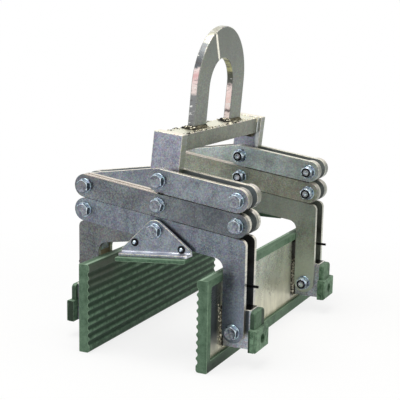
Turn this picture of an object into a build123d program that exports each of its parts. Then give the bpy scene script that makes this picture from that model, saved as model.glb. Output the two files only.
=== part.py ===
from build123d import *
from math import asin, cos, radians, sin, tan
import os

os.makedirs("parts", exist_ok=True)

# Scissor bars, pivot to pivot and across
half_arm = 165.0
bar_width = 46.6
bar_half = bar_width / 2
plate_t = 10.0
stop_gap = 0.6

# Layers of one end frame, front face to back face
layer_gap = 0.5
yoke_t = 24.0
mid_gap = yoke_t + 2 * layer_gap
right_layers = (0.0, 2 * plate_t + layer_gap + mid_gap)
left_layers = (plate_t + layer_gap, 3 * plate_t + 2 * layer_gap + mid_gap)
stack_depth = 4 * plate_t + 2 * layer_gap + mid_gap
stack_pitch = 405.0
front_y = -(stack_pitch + stack_depth) / 2
ends = (("front", front_y), ("rear", front_y + stack_pitch))

# Fits
running_gap = 0.05
side_gap = 0.3

# Fasteners, metric sixteen
bolt_r = 8.0
hole_r = bolt_r + running_gap
hex_flats = 24.0
head_h = 10.0
head_turn = 17.0
washer_r = 15.0
washer_t = 3.0
nut_h = 13.0
nut_collar_r = 11.2
nut_collar_h = 3.0
bolt_end = 0.8
spacer_r = 14.0

# Pivots with the bars folded to their stop: neighbouring bars almost touch
rest_angle = asin((bar_width + stop_gap) / half_arm) / 2
rise = 2 * half_arm * sin(rest_angle)
reach = half_arm * cos(rest_angle)
mid_z = 296.0
top_pivot = (0.0, mid_z + rise)
mid_pivot = (0.0, mid_z)
low_pivot = (0.0, mid_z - rise)
upper_z = mid_z + rise / 2
lower_z = mid_z - rise / 2

# Legs and jaw pivots
leg_x = 161.0
leg_width = 45.0
leg_half = leg_width / 2
jaw_pivot_z = 67.3
corner_outer_r = 12.0
corner_inner_r = 20.0
tie_t = 8.0
tie_inset = 2.0
tie_low = 186.0
tie_high = 234.0

# Jaws
jaw_length = 600.0
jaw_height = 178.0
jaw_face_x = 115.0
groove_pitch = 15.35
groove_chord = 10.5
groove_depth = 3.6
tip_round = 0.7
plain_band = 12.0
groove_count = int((jaw_height - 2 * plain_band - groove_chord) / groove_pitch) + 1
first_groove_z = (jaw_height - (groove_count - 1) * groove_pitch) / 2
face_edge_r = 6.0
back_edge_r = 2.0
web_t = 5.0
steel_t = 8.0
lip_t = 6.6
edge_wall = 6.0
lip_top = 14.0
lip_bottom = 22.0
lip_end = 16.0
steel_x = jaw_face_x + groove_depth + web_t
steel_out_x = steel_x + steel_t

# Lugs and stay pins between the leg plates, and the rubber buffers on the ends of the lugs
lug_low = 34.0
lug_high = 112.0
lug_overhang = 11.5
lug_out_x = leg_x + leg_half + lug_overhang
pin_r = 2.6
pin_z = 153.5
pin_overhang = 5.5
pin_out_x = lug_out_x + pin_overhang
buffer_low = 33.0
buffer_split = 76.5
buffer_high = 110.0
buffer_deep = 17.0
buffer_shallow = 10.5
buffer_upper = 49.5
buffer_crown_r = 9.0
buffer_edge_r = 4.0
mould_line_out = 12.5
mould_line_w = 2.4
mould_line_depth = 1.6
recess_r = 10.0
recess_depth = 8.0

# Yoke, measured from the top pivot. It leans until its flat foot meets the middle distance tube.
yoke_lean = radians(6.0)
yoke_half = 30.5
stop_clear = 0.08
yoke_foot = rise * cos(yoke_lean) - spacer_r - stop_clear
yoke_corner_r = 10.0
yoke_top = 90.4
bar_low = 54.4
bar_high = 88.4
bar_across = 45.0

# Lifting eye, set a little behind the middle and less steeply than the yoke leans
eye_t = 15.0
eye_centre = 173.6
eye_outer_r = 118.2
eye_inner_r = 59.1
eye_inner_drop = 5.6
eye_lean = radians(4.7)
eye_along = 7.0

# Slab rests on the low pivot
rest_off = 7.5
rest_t = 6.0
rest_apex_r = 21.0
rest_half = 75.0
rest_drop = 48.5
rest_flange = 27.0
rest_corner_r = 4.0
rest_bend_r = 3.0
flange_corner_r = 10.0
pad_t = 8.0
pad_reach = 35.0
pad_edge_r = 2.5
front_rest_tilt = radians(4.4)


def upright(y):
    """Sketch plane facing the front at a given depth, local axes along X and Z."""
    return Plane(origin=(0, y, 0), x_dir=(1, 0, 0), z_dir=(0, -1, 0))


def turned(x, y, z, angle):
    """The same kind of plane, turned on the depth axis through a pivot."""
    return Plane(origin=(x, y, z), x_dir=(cos(angle), 0, -sin(angle)), z_dir=(0, -1, 0))


# Straight bars: both top links and both middle bars, two plates at each end frame
straight_bars = []
for side, s, layers in (("right", 1, right_layers), ("left", -1, left_layers)):
    straight_bars.append((side + "_link", layers, [top_pivot, (s * reach, upper_z)]))
    straight_bars.append((side + "_bar", layers, [(-s * reach, upper_z), mid_pivot, (s * reach, lower_z)]))

for kind, layers, pivots in straight_bars:
    for end, y0 in ends:
        for number, layer in enumerate(layers, 1):
            with BuildPart() as bar:
                with BuildSketch(upright(y0 + layer)):
                    with Locations(pivots[0], pivots[-1]):
                        Circle(bar_half)
                    make_hull()
                    with Locations(*pivots):
                        Circle(hole_r, mode=Mode.SUBTRACT)
                extrude(amount=-plate_t)
            name = f"{kind}_{end}_{number}"
            bar.part.label = name
            export_step(bar.part, f"parts/{name}.step")

# Legs: the lowest bar of each slope, turned down into a vertical leg
slope = tan(rest_angle)
edge_rise = bar_half / cos(rest_angle)
edge_x = bar_half * sin(rest_angle)
edge_z = bar_half * cos(rest_angle)
for side, s, layers in (("right", 1, right_layers), ("left", -1, left_layers)):
    outer_x = leg_x + leg_half
    inner_x = leg_x - leg_half
    outer_z = low_pivot[1] - outer_x * slope + edge_rise
    inner_z = low_pivot[1] - inner_x * slope - edge_rise
    outline = [
        (-s * reach + s * edge_x, lower_z + edge_z),
        (s * outer_x, outer_z),
        (s * outer_x, jaw_pivot_z),
        (s * inner_x, jaw_pivot_z),
        (s * inner_x, inner_z),
        (-s * reach - s * edge_x, lower_z - edge_z),
    ]
    leg_pivots = [(-s * reach, lower_z), low_pivot, (s * leg_x, jaw_pivot_z)]
    for end, y0 in ends:
        for number, layer in enumerate(layers, 1):
            with BuildPart() as leg:
                with BuildSketch(upright(y0 + layer)) as leg_sketch:
                    with BuildLine():
                        Polyline(*outline, close=True)
                    make_face()
                    corners = leg_sketch.sketch_local.vertices()
                    fillet(corners.sort_by_distance((s * outer_x, outer_z, 0))[0], corner_outer_r)
                    corners = leg_sketch.sketch_local.vertices()
                    fillet(corners.sort_by_distance((s * inner_x, inner_z, 0))[0], corner_inner_r)
                    with Locations(leg_pivots[0]):
                        Circle(bar_half)
                    with Locations(leg_pivots[-1]):
                        Circle(leg_half)
                    with Locations(*leg_pivots):
                        Circle(hole_r, mode=Mode.SUBTRACT)
                extrude(amount=-plate_t)
            name = f"{side}_leg_{end}_{number}"
            leg.part.label = name
            export_step(leg.part, f"parts/{name}.step")

# Bolts, nuts and distance tubes, grouped by the bars that carry them.
# Each pivot: place, first and last face within the frame, gaps kept there, and the tube's own gaps.
whole = (0.0, stack_depth)
right_jaw_span = (right_layers[0], right_layers[1] + plate_t)
left_jaw_span = (left_layers[0], left_layers[1] + plate_t)
on_right = (0.0, side_gap)
on_left = (side_gap, 0.0)
on_both = (0.0, 0.0)
on_none = (side_gap, side_gap)
rest_stand = rest_off + rest_t + side_gap
groups = {
    "top_pivot": [(top_pivot, whole, on_none, 0, None)],
    "right_link": [((reach, upper_z), whole, on_right, 0, on_left)],
    "left_link": [((-reach, upper_z), whole, on_left, 0, on_right)],
    "right_bar": [
        (mid_pivot, whole, on_right, 0, on_left),
        ((reach, lower_z), whole, on_right, 0, on_left),
    ],
    "left_bar": [((-reach, lower_z), whole, on_left, 0, on_right)],
    "right_leg": [
        (low_pivot, whole, on_right, rest_stand, on_left),
        ((leg_x, jaw_pivot_z), right_jaw_span, on_both, 0, None),
    ],
    "left_leg": [((-leg_x, jaw_pivot_z), left_jaw_span, on_both, 0, None)],
}
tube_start = 2 * plate_t + layer_gap

for group_number, (group, pivots) in enumerate(groups.items()):
    turn = head_turn * (group_number + 1)
    with BuildPart() as bolts:
        for (x, z), span, gaps, stand, tube in pivots:
            for end, y0 in ends:
                first = y0 + span[0] - gaps[0]
                last = y0 + span[1] + gaps[1]
                out = -1 if end == "front" else 1
                seat = (first if end == "front" else last) + out * stand
                nut_end = washer_t + nut_h + nut_collar_h
                tip = (last if end == "front" else first) - out * (nut_end + bolt_end)
                with BuildSketch(upright(seat)):
                    with Locations((x, z)):
                        Circle(bolt_r)
                extrude(amount=-(tip - seat))
                with BuildSketch(upright(seat)):
                    with Locations((x, z)):
                        Circle(washer_r)
                extrude(amount=-out * washer_t)
                with BuildSketch(upright(seat + out * washer_t)):
                    with Locations((x, z)):
                        RegularPolygon(hex_flats / 2, 6, major_radius=False, rotation=turn)
                extrude(amount=-out * head_h)
    bolts.part.label = group + "_bolts"
    export_step(bolts.part, f"parts/{group}_bolts.step")

    with BuildPart() as nuts:
        for (x, z), span, gaps, stand, tube in pivots:
            for end, y0 in ends:
                first = y0 + span[0] - gaps[0]
                last = y0 + span[1] + gaps[1]
                inward = 1 if end == "front" else -1
                seat = last if end == "front" else first
                nut_foot = seat + inward * washer_t
                with BuildSketch(upright(seat)):
                    with Locations((x, z)):
                        Circle(washer_r)
                        Circle(hole_r, mode=Mode.SUBTRACT)
                extrude(amount=-inward * washer_t)
                with BuildSketch(upright(nut_foot)):
                    with Locations((x, z)):
                        RegularPolygon(hex_flats / 2, 6, major_radius=False, rotation=-turn)
                        Circle(hole_r, mode=Mode.SUBTRACT)
                extrude(amount=-inward * nut_h)
                with BuildSketch(upright(nut_foot + inward * nut_h)):
                    with Locations((x, z)):
                        Circle(nut_collar_r)
                        Circle(hole_r, mode=Mode.SUBTRACT)
                extrude(amount=-inward * nut_collar_h)
    nuts.part.label = group + "_nuts"
    export_step(nuts.part, f"parts/{group}_nuts.step")

    if any(entry[4] is not None for entry in pivots) or group == "left_leg":
        with BuildPart() as tubes:
            for (x, z), span, gaps, stand, tube in pivots:
                for end, y0 in ends:
                    if tube is not None:
                        with BuildSketch(upright(y0 + tube_start + tube[0])):
                            with Locations((x, z)):
                                Circle(spacer_r)
                                Circle(hole_r, mode=Mode.SUBTRACT)
                        extrude(amount=-(mid_gap - tube[0] - tube[1]))
                    if stand:
                        collar_y = y0 + side_gap + (-rest_off if end == "front" else stack_depth)
                        collar_len = rest_off - side_gap if end == "front" else rest_off - 2 * side_gap
                        with BuildSketch(upright(collar_y)):
                            with Locations((x, z)):
                                Circle(spacer_r)
                                Circle(hole_r, mode=Mode.SUBTRACT)
                        extrude(amount=-collar_len)
            if group in ("right_leg", "left_leg"):
                s = 1 if group == "right_leg" else -1
                layers = right_layers if s == 1 else left_layers
                for end, y0 in ends:
                    with BuildSketch(upright(y0 + layers[0] + plate_t)):
                        tie_x = leg_x - leg_half + tie_inset + tie_t / 2
                        with Locations((s * tie_x, (tie_low + tie_high) / 2)):
                            Rectangle(tie_t, tie_high - tie_low)
                    extrude(amount=-(layers[1] - layers[0] - plate_t))
        tubes.part.label = group + "_spacers"
        export_step(tubes.part, f"parts/{group}_spacers.step")

# Yoke end plates, each standing in the middle gap of one end frame
for end, y0 in ends:
    with BuildPart() as yoke_plate:
        with BuildSketch(turned(0, y0 + tube_start + layer_gap, top_pivot[1], yoke_lean)):
            with Locations((0, (yoke_top - yoke_foot) / 2)):
                blank = Rectangle(2 * yoke_half, yoke_top + yoke_foot)
            fillet(blank.vertices().sort_by(Axis.Y)[:2], yoke_corner_r)
            Circle(hole_r, mode=Mode.SUBTRACT)
        extrude(amount=-yoke_t)
    name = f"yoke_plate_{end}"
    yoke_plate.part.label = name
    export_step(yoke_plate.part, f"parts/{name}.step")

# Crossbar of the yoke, butted between the two end plates
crossbar_half = stack_pitch / 2 + stack_depth / 2 - (tube_start + layer_gap + yoke_t)
with BuildPart() as crossbar:
    with BuildSketch(turned(0, 0, top_pivot[1], yoke_lean)):
        with Locations((0, (bar_low + bar_high) / 2)):
            Rectangle(bar_across, bar_high - bar_low)
    extrude(amount=crossbar_half, both=True)
crossbar.part.label = "crossbar"
export_step(crossbar.part, "parts/crossbar.step")

# Lifting eye: a flat arch standing along the crossbar, its feet cut to the crossbar's top
eye_plane = Plane(
    origin=(0, eye_along, top_pivot[1]),
    x_dir=(0, 1, 0),
    z_dir=(cos(eye_lean), 0, -sin(eye_lean)),
)
eye_leg = eye_centre - bar_low
with BuildPart() as eye:
    with BuildSketch(eye_plane):
        with Locations((0, eye_centre)):
            Circle(eye_outer_r)
        with Locations((0, eye_centre - eye_leg / 2)):
            Rectangle(2 * eye_outer_r, eye_leg)
        with Locations((0, eye_centre - eye_inner_drop)):
            Circle(eye_inner_r, mode=Mode.SUBTRACT)
        with Locations((0, eye_centre - eye_inner_drop - eye_leg / 2)):
            Rectangle(2 * eye_inner_r, eye_leg, mode=Mode.SUBTRACT)
    extrude(amount=eye_t / 2, both=True)
    with BuildSketch(turned(0, eye_along, top_pivot[1], yoke_lean)):
        with Locations((0, bar_high - eye_outer_r)):
            Rectangle(2 * eye_outer_r, 2 * eye_outer_r)
    extrude(amount=2 * eye_outer_r, both=True, mode=Mode.SUBTRACT)
eye.part.label = "lifting_eye"
export_step(eye.part, "parts/lifting_eye.step")

# Jaws: ribbed rubber tray, steel back plate, lugs and rubber buffers
for side, s, layers in (("right", 1, right_layers), ("left", -1, left_layers)):
    with BuildPart() as liner:
        with BuildSketch(upright(0)) as section:
            with BuildLine():
                face = s * jaw_face_x
                brow = s * (jaw_face_x + tip_round)
                root = s * (jaw_face_x + groove_depth)
                back_face = s * (steel_out_x + lip_t)
                here = (face, first_groove_z - groove_pitch / 2)
                Line((face, 0), here)
                for number in range(groove_count):
                    middle = first_groove_z + number * groove_pitch
                    low = (brow, middle - groove_chord / 2)
                    high = (brow, middle + groove_chord / 2)
                    Line(here, low)
                    ThreePointArc(low, (root, middle), high)
                    here = (face, middle + groove_pitch / 2)
                    Line(high, here)
                Polyline(here, (face, jaw_height), (back_face, jaw_height), (back_face, 0), (face, 0))
            make_face()
            for x, z, r in (
                (face, 0, face_edge_r),
                (face, jaw_height, face_edge_r),
                (back_face, 0, back_edge_r),
                (back_face, jaw_height, back_edge_r),
            ):
                fillet(section.sketch_local.vertices().sort_by_distance((x, z, 0))[0], r)
        extrude(amount=jaw_length / 2, both=True)
        with Locations((s * (steel_x + steel_t / 2), 0, jaw_height / 2)):
            Box(steel_t, jaw_length - 2 * edge_wall, jaw_height - 2 * edge_wall, mode=Mode.SUBTRACT)
        with Locations((s * (steel_out_x + lip_t / 2), 0, (lip_bottom + jaw_height - lip_top) / 2)):
            Box(lip_t, jaw_length - 2 * lip_end, jaw_height - lip_top - lip_bottom, mode=Mode.SUBTRACT)
    liner.part.label = f"{side}_jaw_liner"
    export_step(liner.part, f"parts/{side}_jaw_liner.step")

    with BuildPart() as back:
        with Locations((s * (steel_x + steel_t / 2), 0, jaw_height / 2)):
            Box(steel_t, jaw_length - 2 * edge_wall, jaw_height - 2 * edge_wall)
    back.part.label = f"{side}_jaw_plate"
    export_step(back.part, f"parts/{side}_jaw_plate.step")

    lug_y = layers[0] + plate_t + side_gap
    lug_t = layers[1] - layers[0] - plate_t - 2 * side_gap
    with BuildPart() as lugs:
        for end, y0 in ends:
            with BuildSketch(upright(y0 + lug_y)):
                with Locations((s * (steel_out_x + lug_out_x) / 2, (lug_low + lug_high) / 2)):
                    Rectangle(lug_out_x - steel_out_x, lug_high - lug_low)
                with Locations((s * leg_x, jaw_pivot_z)):
                    Circle(hole_r, mode=Mode.SUBTRACT)
            extrude(amount=-lug_t)
            pin_foot = (s * steel_out_x, y0 + lug_y + lug_t / 2, pin_z)
            with BuildSketch(Plane(origin=pin_foot, x_dir=(0, s, 0), z_dir=(s, 0, 0))):
                Circle(pin_r)
            extrude(amount=pin_out_x - steel_out_x)
    lugs.part.label = f"{side}_jaw_lugs"
    export_step(lugs.part, f"parts/{side}_jaw_lugs.step")

    with BuildPart() as buffers:
        for end, y0 in ends:
            lug_middle = y0 + lug_y + lug_t / 2
            seat = Plane(origin=(s * lug_out_x, lug_middle, 0), x_dir=(0, s, 0), z_dir=(s, 0, 0))
            with BuildSketch(seat):
                with Locations((0, (buffer_low + buffer_split) / 2)):
                    Rectangle(stack_depth, buffer_split - buffer_low)
            extrude(amount=buffer_deep)
            with BuildSketch(seat):
                with Locations((0, (buffer_split + buffer_high) / 2)):
                    upper = Rectangle(buffer_upper, buffer_high - buffer_split)
                fillet(upper.vertices().sort_by(Axis.Y)[2:], buffer_crown_r)
            extrude(amount=buffer_shallow)
        outer_faces = buffers.faces().filter_by(Axis.X).sort_by(Axis.X, reverse=s == 1)
        lower_rims = outer_faces[:2].edges()
        above_split = buffer_split + side_gap
        upper_rims = outer_faces[2:4].edges().filter_by_position(Axis.Z, above_split, buffer_high)
        fillet(lower_rims + upper_rims, buffer_edge_r)
        for end, y0 in ends:
            lug_middle = y0 + lug_y + lug_t / 2
            outside = s * (lug_out_x + buffer_deep)
            with BuildSketch(Plane(origin=(outside, lug_middle, 0), x_dir=(0, s, 0), z_dir=(s, 0, 0))):
                with Locations((0, (buffer_low + buffer_split) / 2)):
                    Circle(recess_r)
            extrude(amount=-recess_depth, mode=Mode.SUBTRACT)
            with BuildSketch(Plane.XY.offset(buffer_low)):
                with Locations(
                    (s * (lug_out_x + mould_line_out), lug_middle - stack_depth / 2),
                    (s * (lug_out_x + mould_line_out), lug_middle + stack_depth / 2),
                ):
                    Rectangle(mould_line_w, 2 * mould_line_depth)
            extrude(amount=buffer_split - buffer_low, mode=Mode.SUBTRACT)
    buffers.part.label = f"{side}_jaw_buffers"
    export_step(buffers.part, f"parts/{side}_jaw_buffers.step")

# Slab rests: bent plates hung on the low pivot bolts outside the end frames, with rubber pads
for end, y0 in ends:
    out = -1 if end == "front" else 1
    near_y = y0 - rest_off if end == "front" else y0 + stack_depth + rest_off
    tilt = -front_rest_tilt if end == "front" else 0.0
    hung = turned(0, near_y, low_pivot[1], tilt)
    with BuildPart() as rest:
        with BuildSketch(hung):
            Circle(rest_apex_r)
            with Locations(
                (rest_half - rest_corner_r, rest_corner_r + rest_t - rest_drop),
                (rest_corner_r - rest_half, rest_corner_r + rest_t - rest_drop),
            ):
                Circle(rest_corner_r)
            make_hull()
            with Locations((0, rest_t / 2 - rest_drop)):
                Rectangle(2 * rest_half, rest_t)
            with Locations((0, rest_t + rest_corner_r / 2 - rest_drop)):
                Rectangle(2 * rest_half, rest_corner_r)
            Circle(hole_r, mode=Mode.SUBTRACT)
        extrude(amount=-out * rest_t)
        with BuildSketch(hung):
            with Locations((0, rest_t / 2 - rest_drop)):
                Rectangle(2 * rest_half, rest_t)
        extrude(amount=-out * rest_flange)
        inside_bend = hung.from_local_coords((0, rest_t - rest_drop, -out * rest_t))
        fillet(rest.edges().sort_by_distance(inside_bend)[0], rest_bend_r)
        outside_bend = hung.from_local_coords((0, -rest_drop, 0))
        fillet(rest.edges().sort_by_distance(outside_bend)[0], rest_bend_r)
        for x in (rest_half, -rest_half):
            corner = hung.from_local_coords((x, rest_t / 2 - rest_drop, -out * rest_flange))
            fillet(rest.edges().sort_by_distance(corner)[0], flange_corner_r)
    rest.part.label = f"rest_plate_{end}"
    export_step(rest.part, f"parts/rest_plate_{end}.step")

    with BuildPart() as pad:
        with BuildSketch(hung):
            with Locations((0, -rest_drop - pad_t / 2)):
                RectangleRounded(2 * rest_half, pad_t, pad_edge_r)
        extrude(amount=-out * pad_reach)
    pad.part.label = f"rest_pad_{end}"
    export_step(pad.part, f"parts/rest_pad_{end}.step")
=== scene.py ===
import bmesh
import bpy
import random
from math import asin, cos, pi, radians, sin, tan
from mathutils import Matrix, Vector


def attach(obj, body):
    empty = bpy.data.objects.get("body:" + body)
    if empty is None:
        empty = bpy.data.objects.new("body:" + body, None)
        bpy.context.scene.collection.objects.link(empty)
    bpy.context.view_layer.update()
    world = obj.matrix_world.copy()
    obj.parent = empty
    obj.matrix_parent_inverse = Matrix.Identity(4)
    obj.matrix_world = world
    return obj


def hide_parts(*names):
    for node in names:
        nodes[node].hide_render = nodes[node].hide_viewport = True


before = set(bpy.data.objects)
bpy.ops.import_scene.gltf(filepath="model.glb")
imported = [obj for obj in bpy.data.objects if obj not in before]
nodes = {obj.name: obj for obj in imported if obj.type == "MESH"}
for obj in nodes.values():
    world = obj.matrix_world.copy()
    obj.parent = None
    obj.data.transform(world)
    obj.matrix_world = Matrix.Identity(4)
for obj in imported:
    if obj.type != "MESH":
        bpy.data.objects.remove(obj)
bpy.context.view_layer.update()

# Legs: the lowest scissor bars, four plates a side, turned down to carry the jaws. They are cut
# from 10 mm steel and hot-dip galvanised: clouded bluish zinc with runs down the legs, bright cut
# edges with a painted highlight where they look up and painted shade where they look down, painted
# shade on the right legs' faces inside the stack, and a beige rim on the end of the front right leg.
X, Y, Z = 0, 1, 2
METAL = {"front": 0.95, "rear": 0.5}
CUT_ZINC = (214, 211, 196)
# Cream zinc of edges and top faces: partly wear, partly a painted highlight.
WORN_AND_HIGHLIT_ZINC = (240, 233, 217)
RUBBED_DARK = (150, 150, 140)
# Painted shade, used on faces inside the stack and on edge rounds that look down.
PAINTED_SHADE = (46, 46, 38)
INNER_OLIVE = (124, 119, 94)
# Each leg's light and dark zinc, its stain and the colour of its inner faces: painted shade on the
# right legs, olive on the left. The rear legs' zinc is lighter, painted light against the shade of
# the front stack.
LEG_TONES = {
    ("right", "front"): ((138, 144, 153), (92, 99, 108), (98, 94, 110), PAINTED_SHADE),
    ("left", "front"): ((122, 126, 128), (82, 85, 88), (110, 102, 100), INNER_OLIVE),
    ("right", "rear"): ((166, 173, 161), (122, 129, 119), (132, 128, 108), PAINTED_SHADE),
    ("left", "rear"): ((166, 173, 161), (122, 129, 119), (132, 128, 108), INNER_OLIVE),
}
# Colours that take over with height: where they start, where they are full, and their share. On the
# front right leg it is a bluish painted shade towards the bottom; the rear legs turn darker towards
# the top and lighter towards the bottom.
REAR_LEG_FADES = [(0.17, 0.24, (122, 129, 119), 0.55), (0.18, 0.1, (178, 188, 172), 0.6)]
LEG_FADES = {
    ("right", "front"): [(0.2, 0.1, (122, 134, 152), 0.35)],
    ("left", "front"): [],
    ("right", "rear"): REAR_LEG_FADES,
    ("left", "rear"): REAR_LEG_FADES,
}
LEG_END_RIM = (214, 204, 182)
LEG_END_HEIGHT = (0.125, 0.085)
INWARD = {1: (0.0, 1.0, 0.0), 2: (0.0, -1.0, 0.0)}
SHADED_UNDERSIDE = (0.0, 0.0, -1.5)
PLATE_EDGE = 0.0004


def tint(colour):
    """A colour read from the object, 0 to 255, as the linear colour a shader takes."""
    linear = []
    for part in colour:
        part = part / 255
        linear.append(part / 12.92 if part <= 0.04045 else ((part + 0.055) / 1.055) ** 2.4)
    return (*linear, 1.0)


def add(tree, kind, settings=None, **inputs):
    """Adds a shader node. Each input is a number, a colour or another node's output."""
    node = tree.nodes.new("ShaderNode" + kind)
    for name, value in (settings or {}).items():
        setattr(node, name, value)
    for name, value in inputs.items():
        socket = node.inputs[int(name[1:])] if name[1:].isdigit() else node.inputs[name.replace("_", " ")]
        if isinstance(value, bpy.types.NodeSocket):
            tree.links.new(value, socket)
        else:
            socket.default_value = value
    return node


def reckon(tree, operation, first, second, third=0.0):
    """A Math node's output."""
    return add(tree, "Math", {"operation": operation}, i0=first, i1=second, i2=third).outputs[0]


def overlap(tree, *masks):
    """What is left where all the masks lie over each other."""
    shared = masks[0]
    for mask in masks[1:]:
        shared = reckon(tree, "MULTIPLY", shared, mask)
    return shared


def blend_colour(tree, factor, first, second, how="MIX"):
    """A colour Mix node's output."""
    settings = {"data_type": "RGBA", "blend_type": how}
    return add(tree, "Mix", settings, i0=factor, i6=first, i7=second).outputs[2]


def spread(tree, value, low, high, to_low=0.0, to_high=1.0):
    """A value stretched from one range to another and kept inside it."""
    ends = {"From_Min": low, "From_Max": high, "To_Min": to_low, "To_Max": to_high}
    return add(tree, "MapRange", None, Value=value, **ends).outputs[0]


def grain(tree, place, scale, stretch=(1.0, 1.0, 1.0), detail=3.0, rough=0.55):
    """Noise over the surface, finer along the axes that are stretched."""
    moved = add(tree, "Mapping", None, Vector=place, Scale=stretch).outputs[0]
    return add(tree, "TexNoise", None, Vector=moved, Scale=scale, Detail=detail, Roughness=rough).outputs[0]


def split(tree, vector):
    """The three parts of a place or a facing."""
    return add(tree, "SeparateXYZ", None, Vector=vector).outputs


def towards(tree, facing, side):
    """How far a face looks to a side, one when it looks straight at it."""
    return add(tree, "VectorMath", {"operation": "DOT_PRODUCT"}, i0=facing, i1=side).outputs["Value"]


def new_group(name, inputs, outputs):
    """A shader node group with named inputs and outputs."""
    tree = bpy.data.node_groups.new(name, "ShaderNodeTree")
    for label, kind, value in inputs:
        socket = tree.interface.new_socket(label, in_out="INPUT", socket_type="NodeSocket" + kind)
        socket.default_value = value
    for label, kind in outputs:
        tree.interface.new_socket(label, in_out="OUTPUT", socket_type="NodeSocket" + kind)
    return tree, tree.nodes.new("NodeGroupInput").outputs, tree.nodes.new("NodeGroupOutput").inputs


def clouded_zinc_group():
    """Clouds, runs, crystals and specks of a zinc coat, its cut edges and painted light and shade on one
    side.
    """
    tree, given, wanted = new_group(
        "clouded zinc",
        [
            ("Light", "Color", (0.3, 0.3, 0.3, 1.0)),
            ("Dark", "Color", (0.1, 0.1, 0.1, 1.0)),
            ("Stain", "Color", (0.1, 0.1, 0.1, 1.0)),
            ("Cut", "Color", (0.6, 0.6, 0.6, 1.0)),
            ("Cut Top", "Color", (0.8, 0.8, 0.7, 1.0)),
            ("Grease", "Color", (0.02, 0.02, 0.02, 1.0)),
            ("Cloud Scale", "Float", 24.0),
            ("Runs", "Float", 0.3),
            ("Stain Share", "Float", 0.0),
            ("Cut Share", "Float", 0.0),
            ("Scratches", "Float", 0.0),
            ("Gloss", "Float", 0.3),
            ("Flat Side", "Vector", (0.0, 1.0, 0.0)),
            ("Greasy Side", "Vector", (0.0, 0.0, 0.0)),
        ],
        [("Colour", "Color"), ("Roughness", "Float"), ("Height", "Float")],
    )
    surface = add(tree, "TexCoord").outputs
    place, facing = surface["Object"], surface["Normal"]
    clouds = grain(tree, place, given["Cloud Scale"], detail=5.0, rough=0.62)
    runs = grain(tree, place, 55.0, stretch=(1.0, 1.0, 0.1))
    specks = grain(tree, place, 430.0, detail=2.0)
    cut_lines = grain(tree, place, 340.0, stretch=(1.0, 0.04, 1.0), detail=2.0)
    stains = grain(tree, place, 13.0, detail=4.0)
    crystals = add(tree, "TexVoronoi", {"feature": "F1"}, Vector=place, Scale=400.0).outputs["Color"]
    crystal = add(tree, "RGBToBW", None, Color=crystals).outputs[0]

    patch = blend_colour(tree, given["Runs"], clouds, runs)
    patch = reckon(tree, "MULTIPLY_ADD", crystal, 0.24, reckon(tree, "SUBTRACT", patch, 0.12))
    patch = reckon(tree, "MULTIPLY_ADD", specks, 0.6, reckon(tree, "SUBTRACT", patch, 0.3))
    colour = blend_colour(tree, spread(tree, patch, 0.3, 0.7), given["Dark"], given["Light"])
    stained = overlap(tree, spread(tree, stains, 0.46, 0.66), given["Stain Share"])
    colour = blend_colour(tree, stained, colour, given["Stain"])
    colour = blend_colour(tree, 0.14, colour, crystals, "OVERLAY")
    lines = grain(tree, place, 26.0, stretch=(0.3, 1.0, 4.0), detail=1.0)
    lines = spread(tree, reckon(tree, "ABSOLUTE", reckon(tree, "SUBTRACT", lines, 0.5), 0.0), 0.014, 0.004)
    scratched = overlap(tree, lines, spread(tree, stains, 0.5, 0.6), given["Scratches"])
    colour = blend_colour(tree, scratched, colour, given["Cut"])

    sideways = reckon(tree, "ABSOLUTE", towards(tree, facing, given["Flat Side"]), 0.0)
    upward = split(tree, facing)[Z]
    on_top = spread(tree, upward, 0.35, 0.8)
    patchy = spread(tree, reckon(tree, "ADD", cut_lines, clouds), 0.75, 1.15, 0.35, 1.0)
    bare = reckon(tree, "MAXIMUM", patchy, on_top)
    cut = overlap(tree, spread(tree, sideways, 0.6, 0.35), given["Cut Share"], bare)
    # Cut faces that look up take a painted highlight, those that look down a painted shade.
    cut_colour = blend_colour(tree, on_top, given["Cut"], given["Cut Top"])
    cut_colour = blend_colour(tree, spread(tree, upward, -0.2, -0.75), cut_colour, given["Dark"])
    colour = blend_colour(tree, cut, colour, cut_colour)
    # Faces that look to the shaded side take a colour painted for their light and shade.
    shaded_share = spread(tree, towards(tree, facing, given["Greasy Side"]), 0.5, 0.8)
    shaded_share = overlap(tree, shaded_share, spread(tree, clouds, 0.3, 0.6, 1.0, 0.82))
    tree.links.new(blend_colour(tree, shaded_share, colour, given["Grease"]), wanted["Colour"])

    dull = reckon(tree, "MULTIPLY_ADD", spread(tree, clouds, 0.35, 0.65), 0.14, given["Gloss"])
    dull = reckon(tree, "MULTIPLY_ADD", shaded_share, 0.2, dull)
    tree.links.new(reckon(tree, "MULTIPLY_ADD", specks, 0.1, dull), wanted["Roughness"])
    rise = reckon(tree, "MULTIPLY_ADD", cut_lines, 0.5, specks)
    tree.links.new(reckon(tree, "MULTIPLY_ADD", clouds, 1.6, rise), wanted["Height"])
    return tree


CLOUDED_ZINC = clouded_zinc_group()


def new_material(name):
    """An empty material with its shader and output."""
    material = bpy.data.materials.new(name)
    material.use_nodes = True
    tree = material.node_tree
    tree.nodes.clear()
    shader = tree.nodes.new("ShaderNodeBsdfPrincipled")
    output = tree.nodes.new("ShaderNodeOutputMaterial")
    tree.links.new(shader.outputs[0], output.inputs[0])
    return material, tree, shader


def shade(tree, shader, colour, roughness, height, strength, depth):
    """Feeds a finish's colour, roughness and bumps to its shader."""
    bumps = add(tree, "Bump", None, Strength=strength, Distance=depth, Height=height)
    tree.links.new(colour, shader.inputs["Base Color"])
    tree.links.new(roughness, shader.inputs["Roughness"])
    tree.links.new(bumps.outputs[0], shader.inputs["Normal"])


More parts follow.
